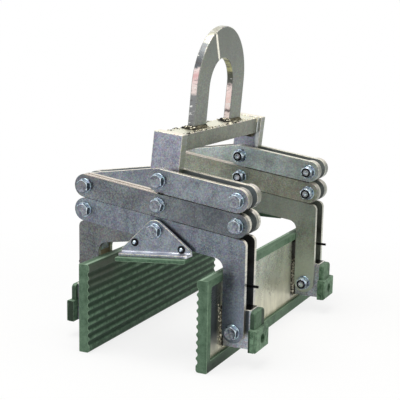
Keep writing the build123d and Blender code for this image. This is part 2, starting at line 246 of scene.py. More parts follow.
def zinc(name, light, dark, gloss=0.24, metal=METAL["front"], bump=0.00022, **values):
    """A zinc-coated steel finish. Values are the coat's other inputs, colours from 0 to 255."""
    material, tree, shader = new_material(name)
    coat = add(tree, "Group", {"node_tree": CLOUDED_ZINC})
    values = {"Grease": PAINTED_SHADE, "Cut_Top": WORN_AND_HIGHLIT_ZINC, **values}
    values.update(Light=light, Dark=dark, Gloss=gloss)
    values.setdefault("Stain_Share", 0.4 if "Stain" in values else 0.0)
    values.setdefault("Cut_Share", 1.0 if "Cut" in values else 0.0)
    for label, value in values.items():
        socket = coat.inputs[label.replace("_", " ")]
        socket.default_value = tint(value) if socket.type == "RGBA" else value
    shader.inputs["Metallic"].default_value = metal
    shade(tree, shader, *coat.outputs, strength=0.5, depth=bump)
    return material


def surface_of(material):
    """What masks on a finish are made from: its tree, a point, and the point's place and facing."""
    tree = material.node_tree
    surface = add(tree, "TexCoord").outputs
    return tree, surface["Object"], split(tree, surface["Object"]), split(tree, surface["Normal"])


def lay_over(material, colour, *masks):
    """Lays a colour over a finish where all the masks are up."""
    tree = material.node_tree
    shader = next(node for node in tree.nodes if node.type == "BSDF_PRINCIPLED")
    coat = shader.inputs["Base Color"].links[0].from_socket
    colour = tint(colour) if isinstance(colour, tuple) else colour
    tree.links.new(blend_colour(tree, overlap(tree, *masks), coat, colour), shader.inputs["Base Color"])


def uneven_fade_group():
    """How far a colour has taken over from where it starts to where it is full, unevenly."""
    tree, given, wanted = new_group(
        "uneven fade",
        [("Along", "Float", 0.0), ("Start", "Float", 0.0), ("Full", "Float", 1.0), ("Share", "Float", 1.0)],
        [("Mask", "Float")],
    )
    clouds = grain(tree, add(tree, "TexCoord").outputs["Object"], 12.0)
    length = reckon(tree, "SUBTRACT", given["Full"], given["Start"])
    uneven = reckon(tree, "MULTIPLY_ADD", reckon(tree, "SUBTRACT", clouds, 0.5), length, given["Along"])
    mask = spread(tree, uneven, given["Start"], given["Full"], 0.0, given["Share"])
    tree.links.new(mask, wanted["Mask"])
    return tree


UNEVEN_FADE = uneven_fade_group()


def fade(material, axis, start, full, colour, share):
    """Lays a colour over a finish, more and more along an axis."""
    tree, spot, place, facing = surface_of(material)
    values = {"Along": place[axis], "Start": start, "Full": full, "Share": share}
    lay_over(material, colour, add(tree, "Group", {"node_tree": UNEVEN_FADE}, **values).outputs[0])


def dress(piece, face, edge, width):
    """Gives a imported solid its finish, and a small round on its edges in the finish for edges."""
    piece.data.materials.clear()
    piece.data.materials.append(face)
    piece.data.materials.append(edge)
    joined = piece.modifiers.new("joined", "WELD")
    joined.merge_threshold = 0.00001
    flat = piece.modifiers.new("whole faces", "DECIMATE")
    flat.decimate_type = "DISSOLVE"
    flat.angle_limit = radians(0.4)
    rounded = piece.modifiers.new("edge round", "BEVEL")
    rounded.limit_method = "ANGLE"
    rounded.angle_limit = radians(38)
    rounded.width = width
    rounded.segments = 2
    rounded.material = 1
    even = piece.modifiers.new("even shading", "WEIGHTED_NORMAL")
    even.keep_sharp = False


# Edge rounds: cream zinc, partly wear and partly a painted highlight, with painted shade where they look
# down.
worn_highlit_edge = zinc(
    "worn zinc edge with painted highlight", WORN_AND_HIGHLIT_ZINC, RUBBED_DARK, gloss=0.2, Cloud_Scale=60.0, Runs=0.1,
    Greasy_Side=SHADED_UNDERSIDE,
)
for (side, end), (light, dark, stain, inner) in LEG_TONES.items():
    for number in (1, 2):
        leg_zinc = zinc(
            f"{side} {end} leg zinc {number}", light, dark, metal=METAL[end], Runs=0.5, Stain=stain,
            Cut=CUT_ZINC, Grease=inner, Greasy_Side=INWARD[number], Scratches=0.12,
        )
        for start, full, colour, share in LEG_FADES[side, end]:
            fade(leg_zinc, Z, start, full, colour, share)
        if (side, end) == ("right", "front"):
            tree, spot, place, facing = surface_of(leg_zinc)
            outward = spread(tree, facing[X], 0.1, 0.5)
            low_down = spread(tree, place[Z], *LEG_END_HEIGHT)
            patchy = spread(tree, grain(tree, spot, 60.0), 0.3, 0.5, 0.6, 1.0)
            lay_over(leg_zinc, LEG_END_RIM, outward, low_down, patchy)
        dress(nodes[f"{side}_leg_{end}_{number}"], leg_zinc, leg_zinc, PLATE_EDGE)

# Top links and middle bars: straight round-ended plates of the same 10 mm steel, galvanised and
# olive at the rear, stacked in pairs on the pivot bolts. Where neighbours meet, the outer plates
# carry cream painted highlights along the top edges, pink and brown stripes, painted shadow lines
# and black painted shade by the round ends; their inner faces carry painted light and shade.
# The rear plates' zinc is lighter, painted light against the shade of the front stack.
BAR_LIGHT = {"front": (134, 139, 143), "rear": (166, 169, 155)}
BAR_DARK = {"front": (84, 89, 94), "rear": (123, 126, 114)}
LINK_LIGHT = {"front": (143, 149, 157), "rear": (191, 202, 201)}
LINK_DARK = {"front": (104, 110, 117), "rear": (152, 162, 160)}
BAR_STAIN = {"front": (106, 102, 112), "rear": (140, 132, 110)}
# Inner faces: painted light and shade between the plates.
INNER_FACE_PAINTED_LIGHT = {"front": (142, 149, 150), "rear": (114, 120, 120)}
BAR_CUT = {"front": (120, 121, 105), "rear": (104, 107, 98)}
BAR_GLOSS = {"front": 0.14, "rear": 0.24}
# Cream painted highlights on the top edges of the bars and links.
BAR_TOP_HIGHLIGHT = (212, 205, 194)
LINK_TOP_HIGHLIGHT = {"front": WORN_AND_HIGHLIT_ZINC, "rear": (218, 217, 202)}
BAR_SHADE = (74, 79, 84)
BAR_SHADE_ALONG = (-0.03, 0.12)
# Stripes along the bars' top line; the cream one is a painted highlight of the top edge.
CREAM_EDGE_HIGHLIGHT = (230, 225, 216)
STRIPE_PINK = (192, 182, 173)
STRIPE_BROWN = (146, 135, 126)
# Painted shade, black, in the gap between a link's round end and the bar.
WEDGE_SHADOW = (12, 11, 10)
# Painted shadow lines where the outer plates meet their neighbours.
SEAM_SHADOW = {"front": (42, 43, 46), "rear": (54, 53, 46)}
# The lines that marks follow on the folded bars: their slope, and their heights at the middle.
BAR_SLOPE = 0.1461
BAR_TOP = 0.3193
BAR_BOTTOM = 0.2722
LINK_TOP = 0.3672
# Marks along these lines: how far they reach from below the line to above it, and where they
# start and stop along X. Those of the outer plates also have their colour.
# The cream line along the links' top is a painted highlight.
LINK_TOP_HIGHLIGHT_LINE = (-0.0013, 0.001, 0.004, 0.168)
BAR_TOP_SHADOW_LINE = (-0.0009, 0.001, 0.012, 0.165)
BAR_BOTTOM_SHADOW_LINE = (-0.001, 0.0012, 0.03, 0.165)
LINK_SHADOW_LINE = (0.0, 0.0014, 0.012, 0.165)
BAR_STRIPES = {
    "front": [
        (-0.0014, 0.001, -0.166, -0.002, STRIPE_PINK),
        (-0.002, -0.0014, -0.166, -0.002, STRIPE_BROWN),
        (-0.0016, 0.001, 0.0, 0.012, WEDGE_SHADOW),
    ],
    "rear": [(-0.0012, 0.001, -0.166, -0.01, STRIPE_PINK)],
}
LINK_STRIPES = {
    "front": [
        (-0.002, 0.0009, -0.18, -0.01, STRIPE_BROWN),
        (0.0009, 0.0037, -0.18, -0.01, CREAM_EDGE_HIGHLIGHT),
        (0.0, 0.0026, 0.0, 0.012, WEDGE_SHADOW),
    ],
    "rear": [(0.0, 0.0022, -0.18, -0.022, CREAM_EDGE_HIGHLIGHT)],
}


def between(tree, value, low, high):
    """One where a value lies between two others."""
    return overlap(tree, reckon(tree, "GREATER_THAN", value, low), reckon(tree, "LESS_THAN", value, high))


def stripe_mark_group():
    """A ragged mark between two sloping lines and between two places along X."""
    tree, given, wanted = new_group(
        "stripe mark",
        [("Low", "Float", 0.0), ("High", "Float", 0.0), ("Left", "Float", 0.0), ("Right", "Float", 0.0)],
        [("Mask", "Float")],
    )
    spot = add(tree, "TexCoord").outputs["Object"]
    place = split(tree, spot)
    ragged = reckon(tree, "MULTIPLY", reckon(tree, "SUBTRACT", grain(tree, spot, 160.0), 0.5), 0.0008)
    height = reckon(tree, "MULTIPLY_ADD", place[X], BAR_SLOPE, reckon(tree, "ADD", place[Z], ragged))
    inside = between(tree, height, given["Low"], given["High"])
    along = between(tree, place[X], given["Left"], given["Right"])
    tree.links.new(overlap(tree, inside, along), wanted["Mask"])
    return tree


STRIPE_MARK = stripe_mark_group()


def lay_stripes(material, line, marks):
    """Lays marks along a line of the folded bars, painted highlights and shadows among them."""
    for below, above, left, right, colour in marks:
        values = {"Low": line + below, "High": line + above, "Left": left, "Right": right}
        mark = add(material.node_tree, "Group", {"node_tree": STRIPE_MARK}, **values)
        lay_over(material, colour, mark.outputs[0])


for end in ("front", "rear"):
    for number in (1, 2):
        shared = {
            "metal": METAL[end], "gloss": BAR_GLOSS[end], "Stain": BAR_STAIN[end], "Cut": BAR_CUT[end],
            "Cut_Share": 1.1, "Grease": INNER_FACE_PAINTED_LIGHT[end], "Greasy_Side": INWARD[number], "Runs": 0.15,
            "Scratches": 0.2,
        }
        bar_zinc = zinc(
            f"{end} bar zinc {number}", BAR_LIGHT[end], BAR_DARK[end], Cut_Top=BAR_TOP_HIGHLIGHT, **shared,
        )
        link_zinc = zinc(
            f"{end} link zinc {number}", LINK_LIGHT[end], LINK_DARK[end], Cut_Top=LINK_TOP_HIGHLIGHT[end], **shared,
        )
        lay_stripes(link_zinc, LINK_TOP, [(*LINK_TOP_HIGHLIGHT_LINE, LINK_TOP_HIGHLIGHT[end])])
        if number == 1:
            lay_stripes(bar_zinc, BAR_TOP, [(*BAR_TOP_SHADOW_LINE, SEAM_SHADOW[end])])
            lay_stripes(bar_zinc, BAR_BOTTOM, [(*BAR_BOTTOM_SHADOW_LINE, SEAM_SHADOW[end])])
            lay_stripes(link_zinc, BAR_TOP, [(*LINK_SHADOW_LINE, SEAM_SHADOW[end])])
            if end == "front":
                fade(bar_zinc, X, *BAR_SHADE_ALONG, BAR_SHADE, 0.4)
            lay_stripes(bar_zinc, BAR_TOP, BAR_STRIPES[end])
            lay_stripes(link_zinc, BAR_TOP, LINK_STRIPES[end])
        for side in ("right", "left"):
            dress(nodes[f"{side}_bar_{end}_{number}"], bar_zinc, bar_zinc, PLATE_EDGE)
            dress(nodes[f"{side}_link_{end}_{number}"], link_zinc, worn_highlit_edge, PLATE_EDGE)

# Distance tubes, the collars behind the slab rests and the tie plates of the legs: turned tube
# and flat bar, galvanised with the frame and dull in the shade between the plates.
TUBE_LIGHT = (168, 178, 178)
TUBE_DARK = (92, 98, 102)
TUBE_EDGE = 0.0006

tube_zinc = zinc("tube zinc", TUBE_LIGHT, TUBE_DARK, gloss=0.3, Cloud_Scale=40.0)
for group in ("right_link", "left_link", "right_bar", "left_bar", "right_leg", "left_leg"):
    dress(nodes[f"{group}_spacers"], tube_zinc, worn_highlit_edge, TUBE_EDGE)

# Pivot bolts: M16 hexagon bolts with plain washers, heads outside the frame, forged with a
# chamfered, slightly dished head and a rolled thread up to a centre-marked end. The bluish zinc
# plate is dull on top of the head and bright on its flats and on the washer; the flats and chamfers
# carry painted highlights, with painted shade where they look down.
HALF_ARM = 0.165
BAR_WIDTH = 0.0466
STOP_GAP = 0.0006
MID_Z = 0.296
REST_ANGLE = asin((BAR_WIDTH + STOP_GAP) / HALF_ARM) / 2
RISE = 2 * HALF_ARM * sin(REST_ANGLE)
REACH = HALF_ARM * cos(REST_ANGLE)
PLATE = 0.010
LAYER_GAP = 0.0005
YOKE_THICK = 0.024
STACK_DEPTH = 4 * PLATE + 4 * LAYER_GAP + YOKE_THICK
STACK_PITCH = 0.405
FRONT_Y = -(STACK_PITCH + STACK_DEPTH) / 2
REAR_Y = FRONT_Y + STACK_PITCH
SIDE_GAP = 0.0003
REST_STAND = 0.0138
LEG_X = 0.161
JAW_PIVOT_Z = 0.0673
BOLT_R = 0.008
HEX_FLATS = 0.024
HEX_CROWN_R = 0.96 * HEX_FLATS / 2
CHAMFER_SLOPE = 0.58
HEAD_H = 0.010
WASHER_R = 0.015
WASHER_HOLE_R = 0.0085
WASHER_T = 0.003
NUT_H = 0.013
NUT_COLLAR_H = 0.003
NUT_TOP = NUT_H + NUT_COLLAR_H
BOLT_END = 0.0008
THREAD_LENGTH = 0.026
THREAD_RUNOUT = 0.0045
THREAD_PITCH = 0.002
THREAD_DEPTH = 0.0006
BOLT_TIP_R = 0.0062
CENTRE_R = 0.0026
END_ROUND = 0.0006
HEAD_LIGHT = (156, 160, 168)
HEAD_DARK = (94, 99, 110)
HEAD_STAIN = (104, 100, 88)
# Painted highlight on the flats and chamfers, and painted shade on those that look down.
FLAT_HIGHLIGHT = (238, 250, 254)
FLAT_DARK = (160, 180, 200)
FLAT_SHADE = (28, 36, 46)
SHADED_FLATS = (0.95, 0.0, -1.3)
SHADED_CHAMFERS = (-1.6, -0.8, -2.4)
WASHER_LIGHT = (196, 212, 224)
WASHER_DARK = (92, 108, 128)
END_LIGHT = (196, 200, 206)
END_DARK = (92, 96, 102)

WHOLE = (0.0, STACK_DEPTH)
RIGHT_JAW = (0.0, STACK_DEPTH - PLATE - LAYER_GAP)
LEFT_JAW = (PLATE + LAYER_GAP, STACK_DEPTH)
ON_BOTH = (SIDE_GAP, SIDE_GAP)
ON_RIGHT = (0.0, SIDE_GAP)
ON_LEFT = (SIDE_GAP, 0.0)
ON_NONE = (0.0, 0.0)
# Each bolt group: the body that carries it, then for each pivot its place, the faces it spans,
# the gaps left there, how far the slab rest lifts its head, and the turns of head and nut.
BOLT_GROUPS = {
    "top_pivot": ("top_pivot", [(0.0, MID_Z + RISE, WHOLE, ON_BOTH, 0.0, 31, 10)]),
    "right_link": ("right_links", [(REACH, MID_Z + RISE / 2, WHOLE, ON_RIGHT, 0.0, 24, 22)]),
    "left_link": ("left_links", [(-REACH, MID_Z + RISE / 2, WHOLE, ON_LEFT, 0.0, 30, 5)]),
    "right_bar": ("right_bars", [
        (0.0, MID_Z, WHOLE, ON_RIGHT, 0.0, 14, 34),
        (REACH, MID_Z - RISE / 2, WHOLE, ON_RIGHT, 0.0, 30, 44),
    ]),
    "left_bar": ("left_bars", [(-REACH, MID_Z - RISE / 2, WHOLE, ON_LEFT, 0.0, 22, 50)]),
    "right_leg": ("right_legs", [
        (0.0, MID_Z - RISE, WHOLE, ON_RIGHT, REST_STAND, 28, 15),
        (LEG_X, JAW_PIVOT_Z, RIGHT_JAW, ON_NONE, 0.0, 26, 27),
    ]),
    "left_leg": ("left_legs", [(-LEG_X, JAW_PIVOT_Z, LEFT_JAW, ON_NONE, 0.0, 16, 38)]),
}
REAR_HEAD_TURN = 9


def bolt_places(pivots):
    """Each bolt's axis, its head's and nut's seats and the way its head looks along Y."""
    for x, z, span, gaps, stand, head_turn, nut_turn in pivots:
        for start in (FRONT_Y, REAR_Y):
            first = start + span[0] - gaps[0]
            last = start + span[1] + gaps[1]
            if start == FRONT_Y:
                yield x, z, first - stand, last, -1, radians(head_turn), radians(nut_turn)
            else:
                yield x, z, last + stand, first, 1, radians(head_turn + REAR_HEAD_TURN), radians(nut_turn)


def ring(bm, x, z, y, radii, turn=0.0):
    """A ring of points round a bolt's axis, a radius and a depth for each point."""
    points = []
    for number, (radius, depth) in enumerate(radii):
        angle = turn + 2 * pi * number / len(radii)
        points.append(bm.verts.new((x + radius * cos(angle), y + depth, z + radius * sin(angle))))
    return points


def skin(bm, rings, finishes=(0,), closed=False):
    """Faces between neighbouring rings, with the two ends capped or joined to each other.
    Each band takes the next finish, and the last one goes on to the end."""
    pairs = list(zip(rings, rings[1:])) + ([(rings[-1], rings[0])] if closed else [])
    for band, (low, high) in enumerate(pairs):
        for number in range(len(low)):
            after = (number + 1) % len(low)
            face = bm.faces.new((low[number], low[after], high[after], high[number]))
            face.material_index = finishes[min(band, len(finishes) - 1)]
    if not closed:
        bm.faces.new(rings[0]).material_index = finishes[0]
        bm.faces.new(rings[-1]).material_index = finishes[-1]


def turned_piece(bm, x, z, y, out, profile, finishes, closed=False, sides=48):
    """A turned shape from radii and distances out along the bolt."""
    skin(bm, [ring(bm, x, z, y, [(r, out * d)] * sides) for r, d in profile], finishes, closed)


def hexagon(flats, sides=72):
    """The radius of a hexagon at each point of a ring."""
    radii = []
    for number in range(sides):
        angle = (2 * pi * number / sides) % (pi / 3) - pi / 6
        radii.append(flats / 2 / cos(angle))
    return radii


def hexagon_block(bm, x, z, y, out, height, turn, top_profile, finishes, foot=False):
    """A forged hexagon: corners cut back by a chamfer cone, then a turned profile on top."""
    outline = hexagon(HEX_FLATS)
    cut_back = [max(r - HEX_CROWN_R, 0.0) * CHAMFER_SLOPE for r in outline]
    rings = []
    if foot:
        rings.append(ring(bm, x, z, y, [(HEX_CROWN_R, 0.0)] * len(outline), turn))
        rings.append(ring(bm, x, z, y, [(r, out * c) for r, c in zip(outline, cut_back)], turn))
    else:
        rings.append(ring(bm, x, z, y, [(r, 0.0) for r in outline], turn))
    rings.append(ring(bm, x, z, y, [(r, out * (height - c)) for r, c in zip(outline, cut_back)], turn))
    for radius, depth in [(HEX_CROWN_R, height)] + top_profile:
        rings.append(ring(bm, x, z, y, [(radius, out * depth)] * len(outline), turn))
    skin(bm, rings, finishes)


def threaded_shank(length):
    """A bolt's shank from under its head: plain, then threaded, with a rounded and marked end."""
    groove = length - THREAD_LENGTH
    profile = [(BOLT_R, 0.001), (BOLT_R, -groove)]
    while groove < length - THREAD_RUNOUT:
        profile.append((BOLT_R - THREAD_DEPTH, -groove - THREAD_PITCH * 0.3))
        profile.append((BOLT_R, -groove - THREAD_PITCH * 0.8))
        profile.append((BOLT_R, -groove - THREAD_PITCH))
        groove += THREAD_PITCH
    profile.append((BOLT_TIP_R, 0.0001 - length))
    profile.append((BOLT_TIP_R - END_ROUND, -length))
    profile.append((CENTRE_R, 0.0001 - length))
    profile.append((CENTRE_R - END_ROUND, 0.0005 - length))
    return profile


def finished(name, bm, materials, body, smooth=32):
    """Makes the piece from its mesh, in place, riding on its body."""
    bmesh.ops.recalc_face_normals(bm, faces=bm.faces)
    mesh = bpy.data.meshes.new(name)
    bm.to_mesh(mesh)
    bm.free()
    for material in materials:
        mesh.materials.append(material)
    mesh.shade_smooth()
    mesh.set_sharp_from_angle(angle=radians(smooth))
    piece = bpy.data.objects.new(name, mesh)
    bpy.context.scene.collection.objects.link(piece)
    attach(piece, body)
    return piece


PLATED = {"bump": 0.0001, "Cloud_Scale": 130.0, "Runs": 0.1}
BRIGHT = {"gloss": 0.1, "metal": 0.8, **PLATED}
highlit_flat_zinc = zinc(
    "bright zinc flats with painted highlight", FLAT_HIGHLIGHT, FLAT_DARK, Grease=FLAT_SHADE, Greasy_Side=SHADED_FLATS, **BRIGHT,
)
head_zinc = zinc("dull zinc heads", HEAD_LIGHT, HEAD_DARK, gloss=0.24, Stain=HEAD_STAIN, **PLATED)
chamfer_zinc = zinc(
    "zinc chamfers", FLAT_HIGHLIGHT, FLAT_DARK, Grease=HEAD_DARK, Greasy_Side=SHADED_CHAMFERS, **BRIGHT,
)
washer_zinc = zinc("blue zinc washers", WASHER_LIGHT, WASHER_DARK, gloss=0.16, metal=0.9, **PLATED)
end_zinc = zinc("bright bolt ends", END_LIGHT, END_DARK, gloss=0.3, metal=0.5, **PLATED)
BOLT_FINISHES = [highlit_flat_zinc, head_zinc, end_zinc, washer_zinc, chamfer_zinc]
FLATS, TOP, TIP, WASHER, CHAMFER = range(len(BOLT_FINISHES))
HEAD_DISH = [(0.0106, HEAD_H - 0.0001), (0.0092, HEAD_H - 0.0005), (0.004, HEAD_H - 0.0007)]
WASHER_PROFILE = [
    (WASHER_HOLE_R, 0.0), (WASHER_R - 0.0005, 0.0), (WASHER_R, 0.0006), (WASHER_R, WASHER_T - 0.0008),
    (WASHER_R - 0.0008, WASHER_T), (WASHER_HOLE_R, WASHER_T),
]
for group, (body, pivots) in BOLT_GROUPS.items():
    bm = bmesh.new()
    for x, z, seat, nut_seat, out, head_turn, nut_turn in bolt_places(pivots):
        turned_piece(bm, x, z, seat, out, WASHER_PROFILE, finishes=(WASHER,), closed=True)
        head_foot = seat + out * WASHER_T
        hexagon_block(bm, x, z, head_foot, out, HEAD_H, head_turn, HEAD_DISH, (FLATS, CHAMFER, TOP))
        shank = threaded_shank(abs(nut_seat - seat) + WASHER_T + NUT_TOP + BOLT_END)
        shank_finish = [FLATS] * (len(shank) - 5) + [TOP, TIP, TIP, FLATS]
        turned_piece(bm, x, z, seat, out, shank, shank_finish, sides=40)
    bolts = finished(f"{group}_bolts_forged", bm, BOLT_FINISHES, body)
    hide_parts(f"{group}_bolts")

# Lock nuts: M16 nuts on washers at the inner ends of the bolts, zinc plated, with a rolled-in
# crown that holds a black plastic ring round the bolt's thread.
NYLON_LIGHT = (20, 20, 22)
NYLON_DARK = (8, 8, 9)
NUT_COLLAR = [
    (0.0113, NUT_H - 0.0001), (0.0112, NUT_H + 0.0008), (0.0111, NUT_TOP - 0.001),
    (0.0106, NUT_TOP - 0.0002), (0.0102, NUT_TOP), (0.0099, NUT_TOP - 0.0004), (0.0099, NUT_H + 0.0005),
]
NYLON_RING = [
    (0.0078, NUT_H + 0.0004), (0.0098, NUT_H + 0.0004), (0.0098, NUT_TOP - 0.0005),
    (0.0094, NUT_TOP + 0.0001), (0.0074, NUT_TOP + 0.0002), (0.0072, NUT_TOP - 0.0004),
]

nylon, tree, shader = new_material("black nylon")
place = add(tree, "TexCoord").outputs["Object"]
mottle = grain(tree, place, 240.0, detail=4.0)
pores = grain(tree, place, 1400.0, detail=2.0)
colour = blend_colour(tree, spread(tree, mottle, 0.35, 0.65), tint(NYLON_DARK), tint(NYLON_LIGHT))
roughness = reckon(tree, "MULTIPLY_ADD", mottle, 0.15, 0.6)
shade(tree, shader, colour, roughness, pores, strength=0.4, depth=0.0001)
shader.inputs["Specular IOR Level"].default_value = 0.15
NUT_FINISHES = [highlit_flat_zinc, nylon, washer_zinc]
NUT_FLATS, NUT_RING, NUT_WASHER = range(len(NUT_FINISHES))
for group, (body, pivots) in BOLT_GROUPS.items():
    bm = bmesh.new()
    for x, z, seat, nut_seat, out, head_turn, nut_turn in bolt_places(pivots):
        turned_piece(bm, x, z, nut_seat, -out, WASHER_PROFILE, finishes=(NUT_WASHER,), closed=True)
        nut_foot = nut_seat - out * WASHER_T
        hexagon_block(bm, x, z, nut_foot, -out, NUT_H, nut_turn, NUT_COLLAR, (NUT_FLATS,), foot=True)
        turned_piece(bm, x, z, nut_foot, -out, NYLON_RING, finishes=(NUT_RING,), closed=True)
    nuts = finished(f"{group}_lock_nuts", bm, NUT_FINISHES, body)
    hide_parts(f"{group}_nuts")

# Yoke end plates and crossbar: thick sawn flat bar, galvanised bluish on the broad end plates
# and olive along the bar, with a cream painted highlight on top and painted light over the
# crossbar's shadow on the inner corner of the rear plate, hung on the top pivot bolts between the
# scissor plates.
YOKE_LIGHT = (166, 168, 179)
YOKE_DARK = (122, 125, 136)
YOKE_SIDE = (124, 130, 112)
# Painted light over the crossbar's shadow on the rear plate's front face.
YOKE_CORNER_PAINTED_LIGHT = (222, 226, 222)
LIT_CORNER_X = (0.024, 0.028)
REAR_PLATE_FROM = 0.15
CROSSBAR_LIGHT = (134, 137, 125)
CROSSBAR_DARK = (94, 98, 88)
# Painted highlight on the crossbar's top.
CROSSBAR_TOP_HIGHLIGHT = (226, 225, 206)
CROSSBAR_SIDES = (1.0, 0.0, 0.0)
YOKE_EDGE = 0.0011

yoke_zinc = zinc("yoke zinc", YOKE_LIGHT, YOKE_DARK, Cloud_Scale=34.0, Cut=YOKE_SIDE)
tree, spot, place, facing = surface_of(yoke_zinc)
forward = spread(tree, facing[Y], -0.3, -0.7)
on_rear_plate = reckon(tree, "GREATER_THAN", place[Y], REAR_PLATE_FROM)
corner = spread(tree, place[X], *LIT_CORNER_X)
lay_over(yoke_zinc, YOKE_CORNER_PAINTED_LIGHT, forward, on_rear_plate, corner, 0.8)
crossbar_zinc = zinc(
    "crossbar zinc", CROSSBAR_LIGHT, CROSSBAR_DARK, Cloud_Scale=20.0, Cut=CROSSBAR_TOP_HIGHLIGHT,
    Cut_Top=CROSSBAR_TOP_HIGHLIGHT, Flat_Side=CROSSBAR_SIDES,
)
for end in ("front", "rear"):
    dress(nodes[f"yoke_plate_{end}"], yoke_zinc, worn_highlit_edge, YOKE_EDGE)
dress(nodes["crossbar"], crossbar_zinc, worn_highlit_edge, YOKE_EDGE)

# Lifting eye: an arch cut from 15 mm plate, galvanised, ground round on its edges and rubbed to
# bare pinkish and grey metal on its rim where hooks have run, with painted highlights and painted
# shade in bands along the rim.
EYE_LIGHT = (133, 137, 128)
EYE_DARK = (100, 105, 98)
EYE_DARK_HEIGHT = (0.5, 0.62)
EYE_EDGE_LIGHT = (226, 222, 210)
EYE_EDGE_DARK = (120, 122, 118)
EYE_CROWN = (122, 125, 121)
EYE_CROWN_HEIGHT = (0.605, 0.575)
EYE_EDGE = 0.0016
# The rim's colours by height, on the front half of the arch and on the rear half: bare metal,
# painted highlights and painted shade.
FRONT_RIM = [
    (0.44, (126, 127, 128)), (0.498, (130, 131, 131)), (0.506, (220, 204, 198)), (0.52, (222, 205, 200)),
    (0.535, (196, 158, 156)), (0.55, (218, 203, 198)), (0.556, (96, 99, 102)), (0.598, (92, 95, 97)),
    (0.606, (196, 194, 178)), (0.625, (186, 184, 168)),
]
REAR_RIM = [
    (0.43, (226, 210, 204)), (0.45, (214, 198, 194)), (0.454, (76, 70, 70)), (0.461, (226, 208, 202)),
    (0.478, (224, 194, 186)), (0.492, (232, 208, 202)), (0.507, (232, 214, 208)), (0.514, (92, 94, 90)),
    (0.534, (100, 102, 90)), (0.542, (178, 176, 134)), (0.57, (166, 167, 132)),
]
RIM_MARK = (224, 224, 220)
RIM_PIT = (92, 88, 88)


def bands(tree, value, stops):
    """Colours along a value, each given where it stands."""
    low, high = stops[0][0], stops[-1][0]
    ramp = add(tree, "ValToRGB", None, Fac=spread(tree, value, low, high))
    points = ramp.color_ramp.elements
    points[0].color = tint(stops[0][1])
    points[1].color = tint(stops[-1][1])
    for place, colour in stops[1:-1]:
        points.new((place - low) / (high - low)).color = tint(colour)
    return ramp.outputs[0]


eye_zinc = zinc("eye zinc", EYE_LIGHT, EYE_DARK, Cloud_Scale=18.0, Scratches=0.2)
tree, spot, place, facing = surface_of(eye_zinc)
ragged = grain(tree, spot, 60.0, detail=4.0, rough=0.7)
height = reckon(tree, "MULTIPLY_ADD", reckon(tree, "SUBTRACT", ragged, 0.5), 0.02, place[Z])
rear_half = reckon(tree, "GREATER_THAN", place[Y], 0.0)
rim = blend_colour(tree, rear_half, bands(tree, height, FRONT_RIM), bands(tree, height, REAR_RIM))
marks = grain(tree, spot, 150.0, stretch=(0.35, 0.35, 1.0))
rim = blend_colour(tree, spread(tree, marks, 0.6, 0.68), rim, tint(RIM_MARK))
rim = blend_colour(tree, spread(tree, marks, 0.42, 0.32, 0.0, 0.75), rim, tint(RIM_PIT))
on_rim = spread(tree, reckon(tree, "ABSOLUTE", facing[X], 0.0), 0.75, 0.5)
lay_over(eye_zinc, EYE_DARK, spread(tree, place[Z], *EYE_DARK_HEIGHT, 0.0, 0.7))
lay_over(eye_zinc, rim, on_rim)
eye_edge = zinc("hook-worn eye edge", EYE_EDGE_LIGHT, EYE_EDGE_DARK, gloss=0.18, Cloud_Scale=26.0)
fade(eye_edge, Z, *EYE_CROWN_HEIGHT, EYE_CROWN, 0.85)
dress(nodes["lifting_eye"], eye_zinc, eye_edge, EYE_EDGE)

# Welds of the yoke: beads run by hand round the feet of the eye and across the ends of the
# crossbar, rippled and left dark by the heat, with burnt lumps and bright spatter beside them,
# and narrow beads up the crossbar's corners, galvanised over.
YOKE_LEAN = radians(6.0)
EYE_LEAN = radians(4.7)
EYE_ALONG = 0.007
EYE_HALF = 0.0075
EYE_OUTER = 0.1182
EYE_INNER = 0.0591
BAR_LOW = 0.0544
BAR_HIGH = 0.0884
BAR_HALF = 0.0225
CROSSBAR_HALF = 0.1905
FOOT_ACROSS = -BAR_HIGH * tan(YOKE_LEAN - EYE_LEAN)
# Each foot of the eye: its side, where its front edge lies, and how far lumps lie ahead of it.
FEET = ((-1, EYE_ALONG - EYE_OUTER, 0.013), (1, EYE_ALONG + EYE_INNER, 0.012))
RIPPLE = 0.0026
DROP_SIDES = 8
FOOT_BEAD = 0.005
FOOT_END_BEAD = 0.0052
UNDER_BEAD = 0.008
UNDER_INSET = 0.004
UNDER_DROP = 0.002
BUTT_BEAD = 0.002
WELD_LIGHT = (142, 136, 112)
WELD_DARK = (20, 18, 16)
BURNT_DARK = (10, 10, 11)
SPATTER_LIGHT = (240, 234, 212)
SPATTER_DARK = (120, 112, 90)


def on_yoke(across, along, height, lean=YOKE_LEAN):
    """A point of the leaning yoke: across it, along the lifter, and up from the top pivot."""
    return Vector((
        across * cos(lean) + height * sin(lean),
        along,
        MID_Z + RISE - across * sin(lean) + height * cos(lean),
    ))


def bead(bm, start, end, size, chance, rough=0.06, sides=10, facing=None, flat=1.0):
    """A rippled weld bead along a corner, thinner where it starts and stops. A ground bead
    is flattened against the face that it lies on."""
    run = end - start
    steps = max(int(run.length / RIPPLE * 3), 9)
    along = run.normalized()
    aside = along.cross(facing) if facing else along.orthogonal().normalized()
    above = along.cross(aside) * flat
    rings = []
    for step in range(steps + 1):
        share = step / steps
        taper = min(1.0, 0.4 + 6.0 * min(share, 1 - share))
        ripple = 1.0 + 0.15 * abs(sin(pi * share * run.length / RIPPLE)) + chance.uniform(-rough, rough)
        radius = size * taper * ripple
        sway = aside * chance.uniform(-rough, rough) + above * chance.uniform(-rough, rough)
        middle = start + run * share + sway * size
        circle = []
        for number in range(sides):
            angle = 2 * pi * number / sides
            circle.append(bm.verts.new(middle + radius * (cos(angle) * aside + sin(angle) * above)))
        rings.append(circle)
    skin(bm, rings)


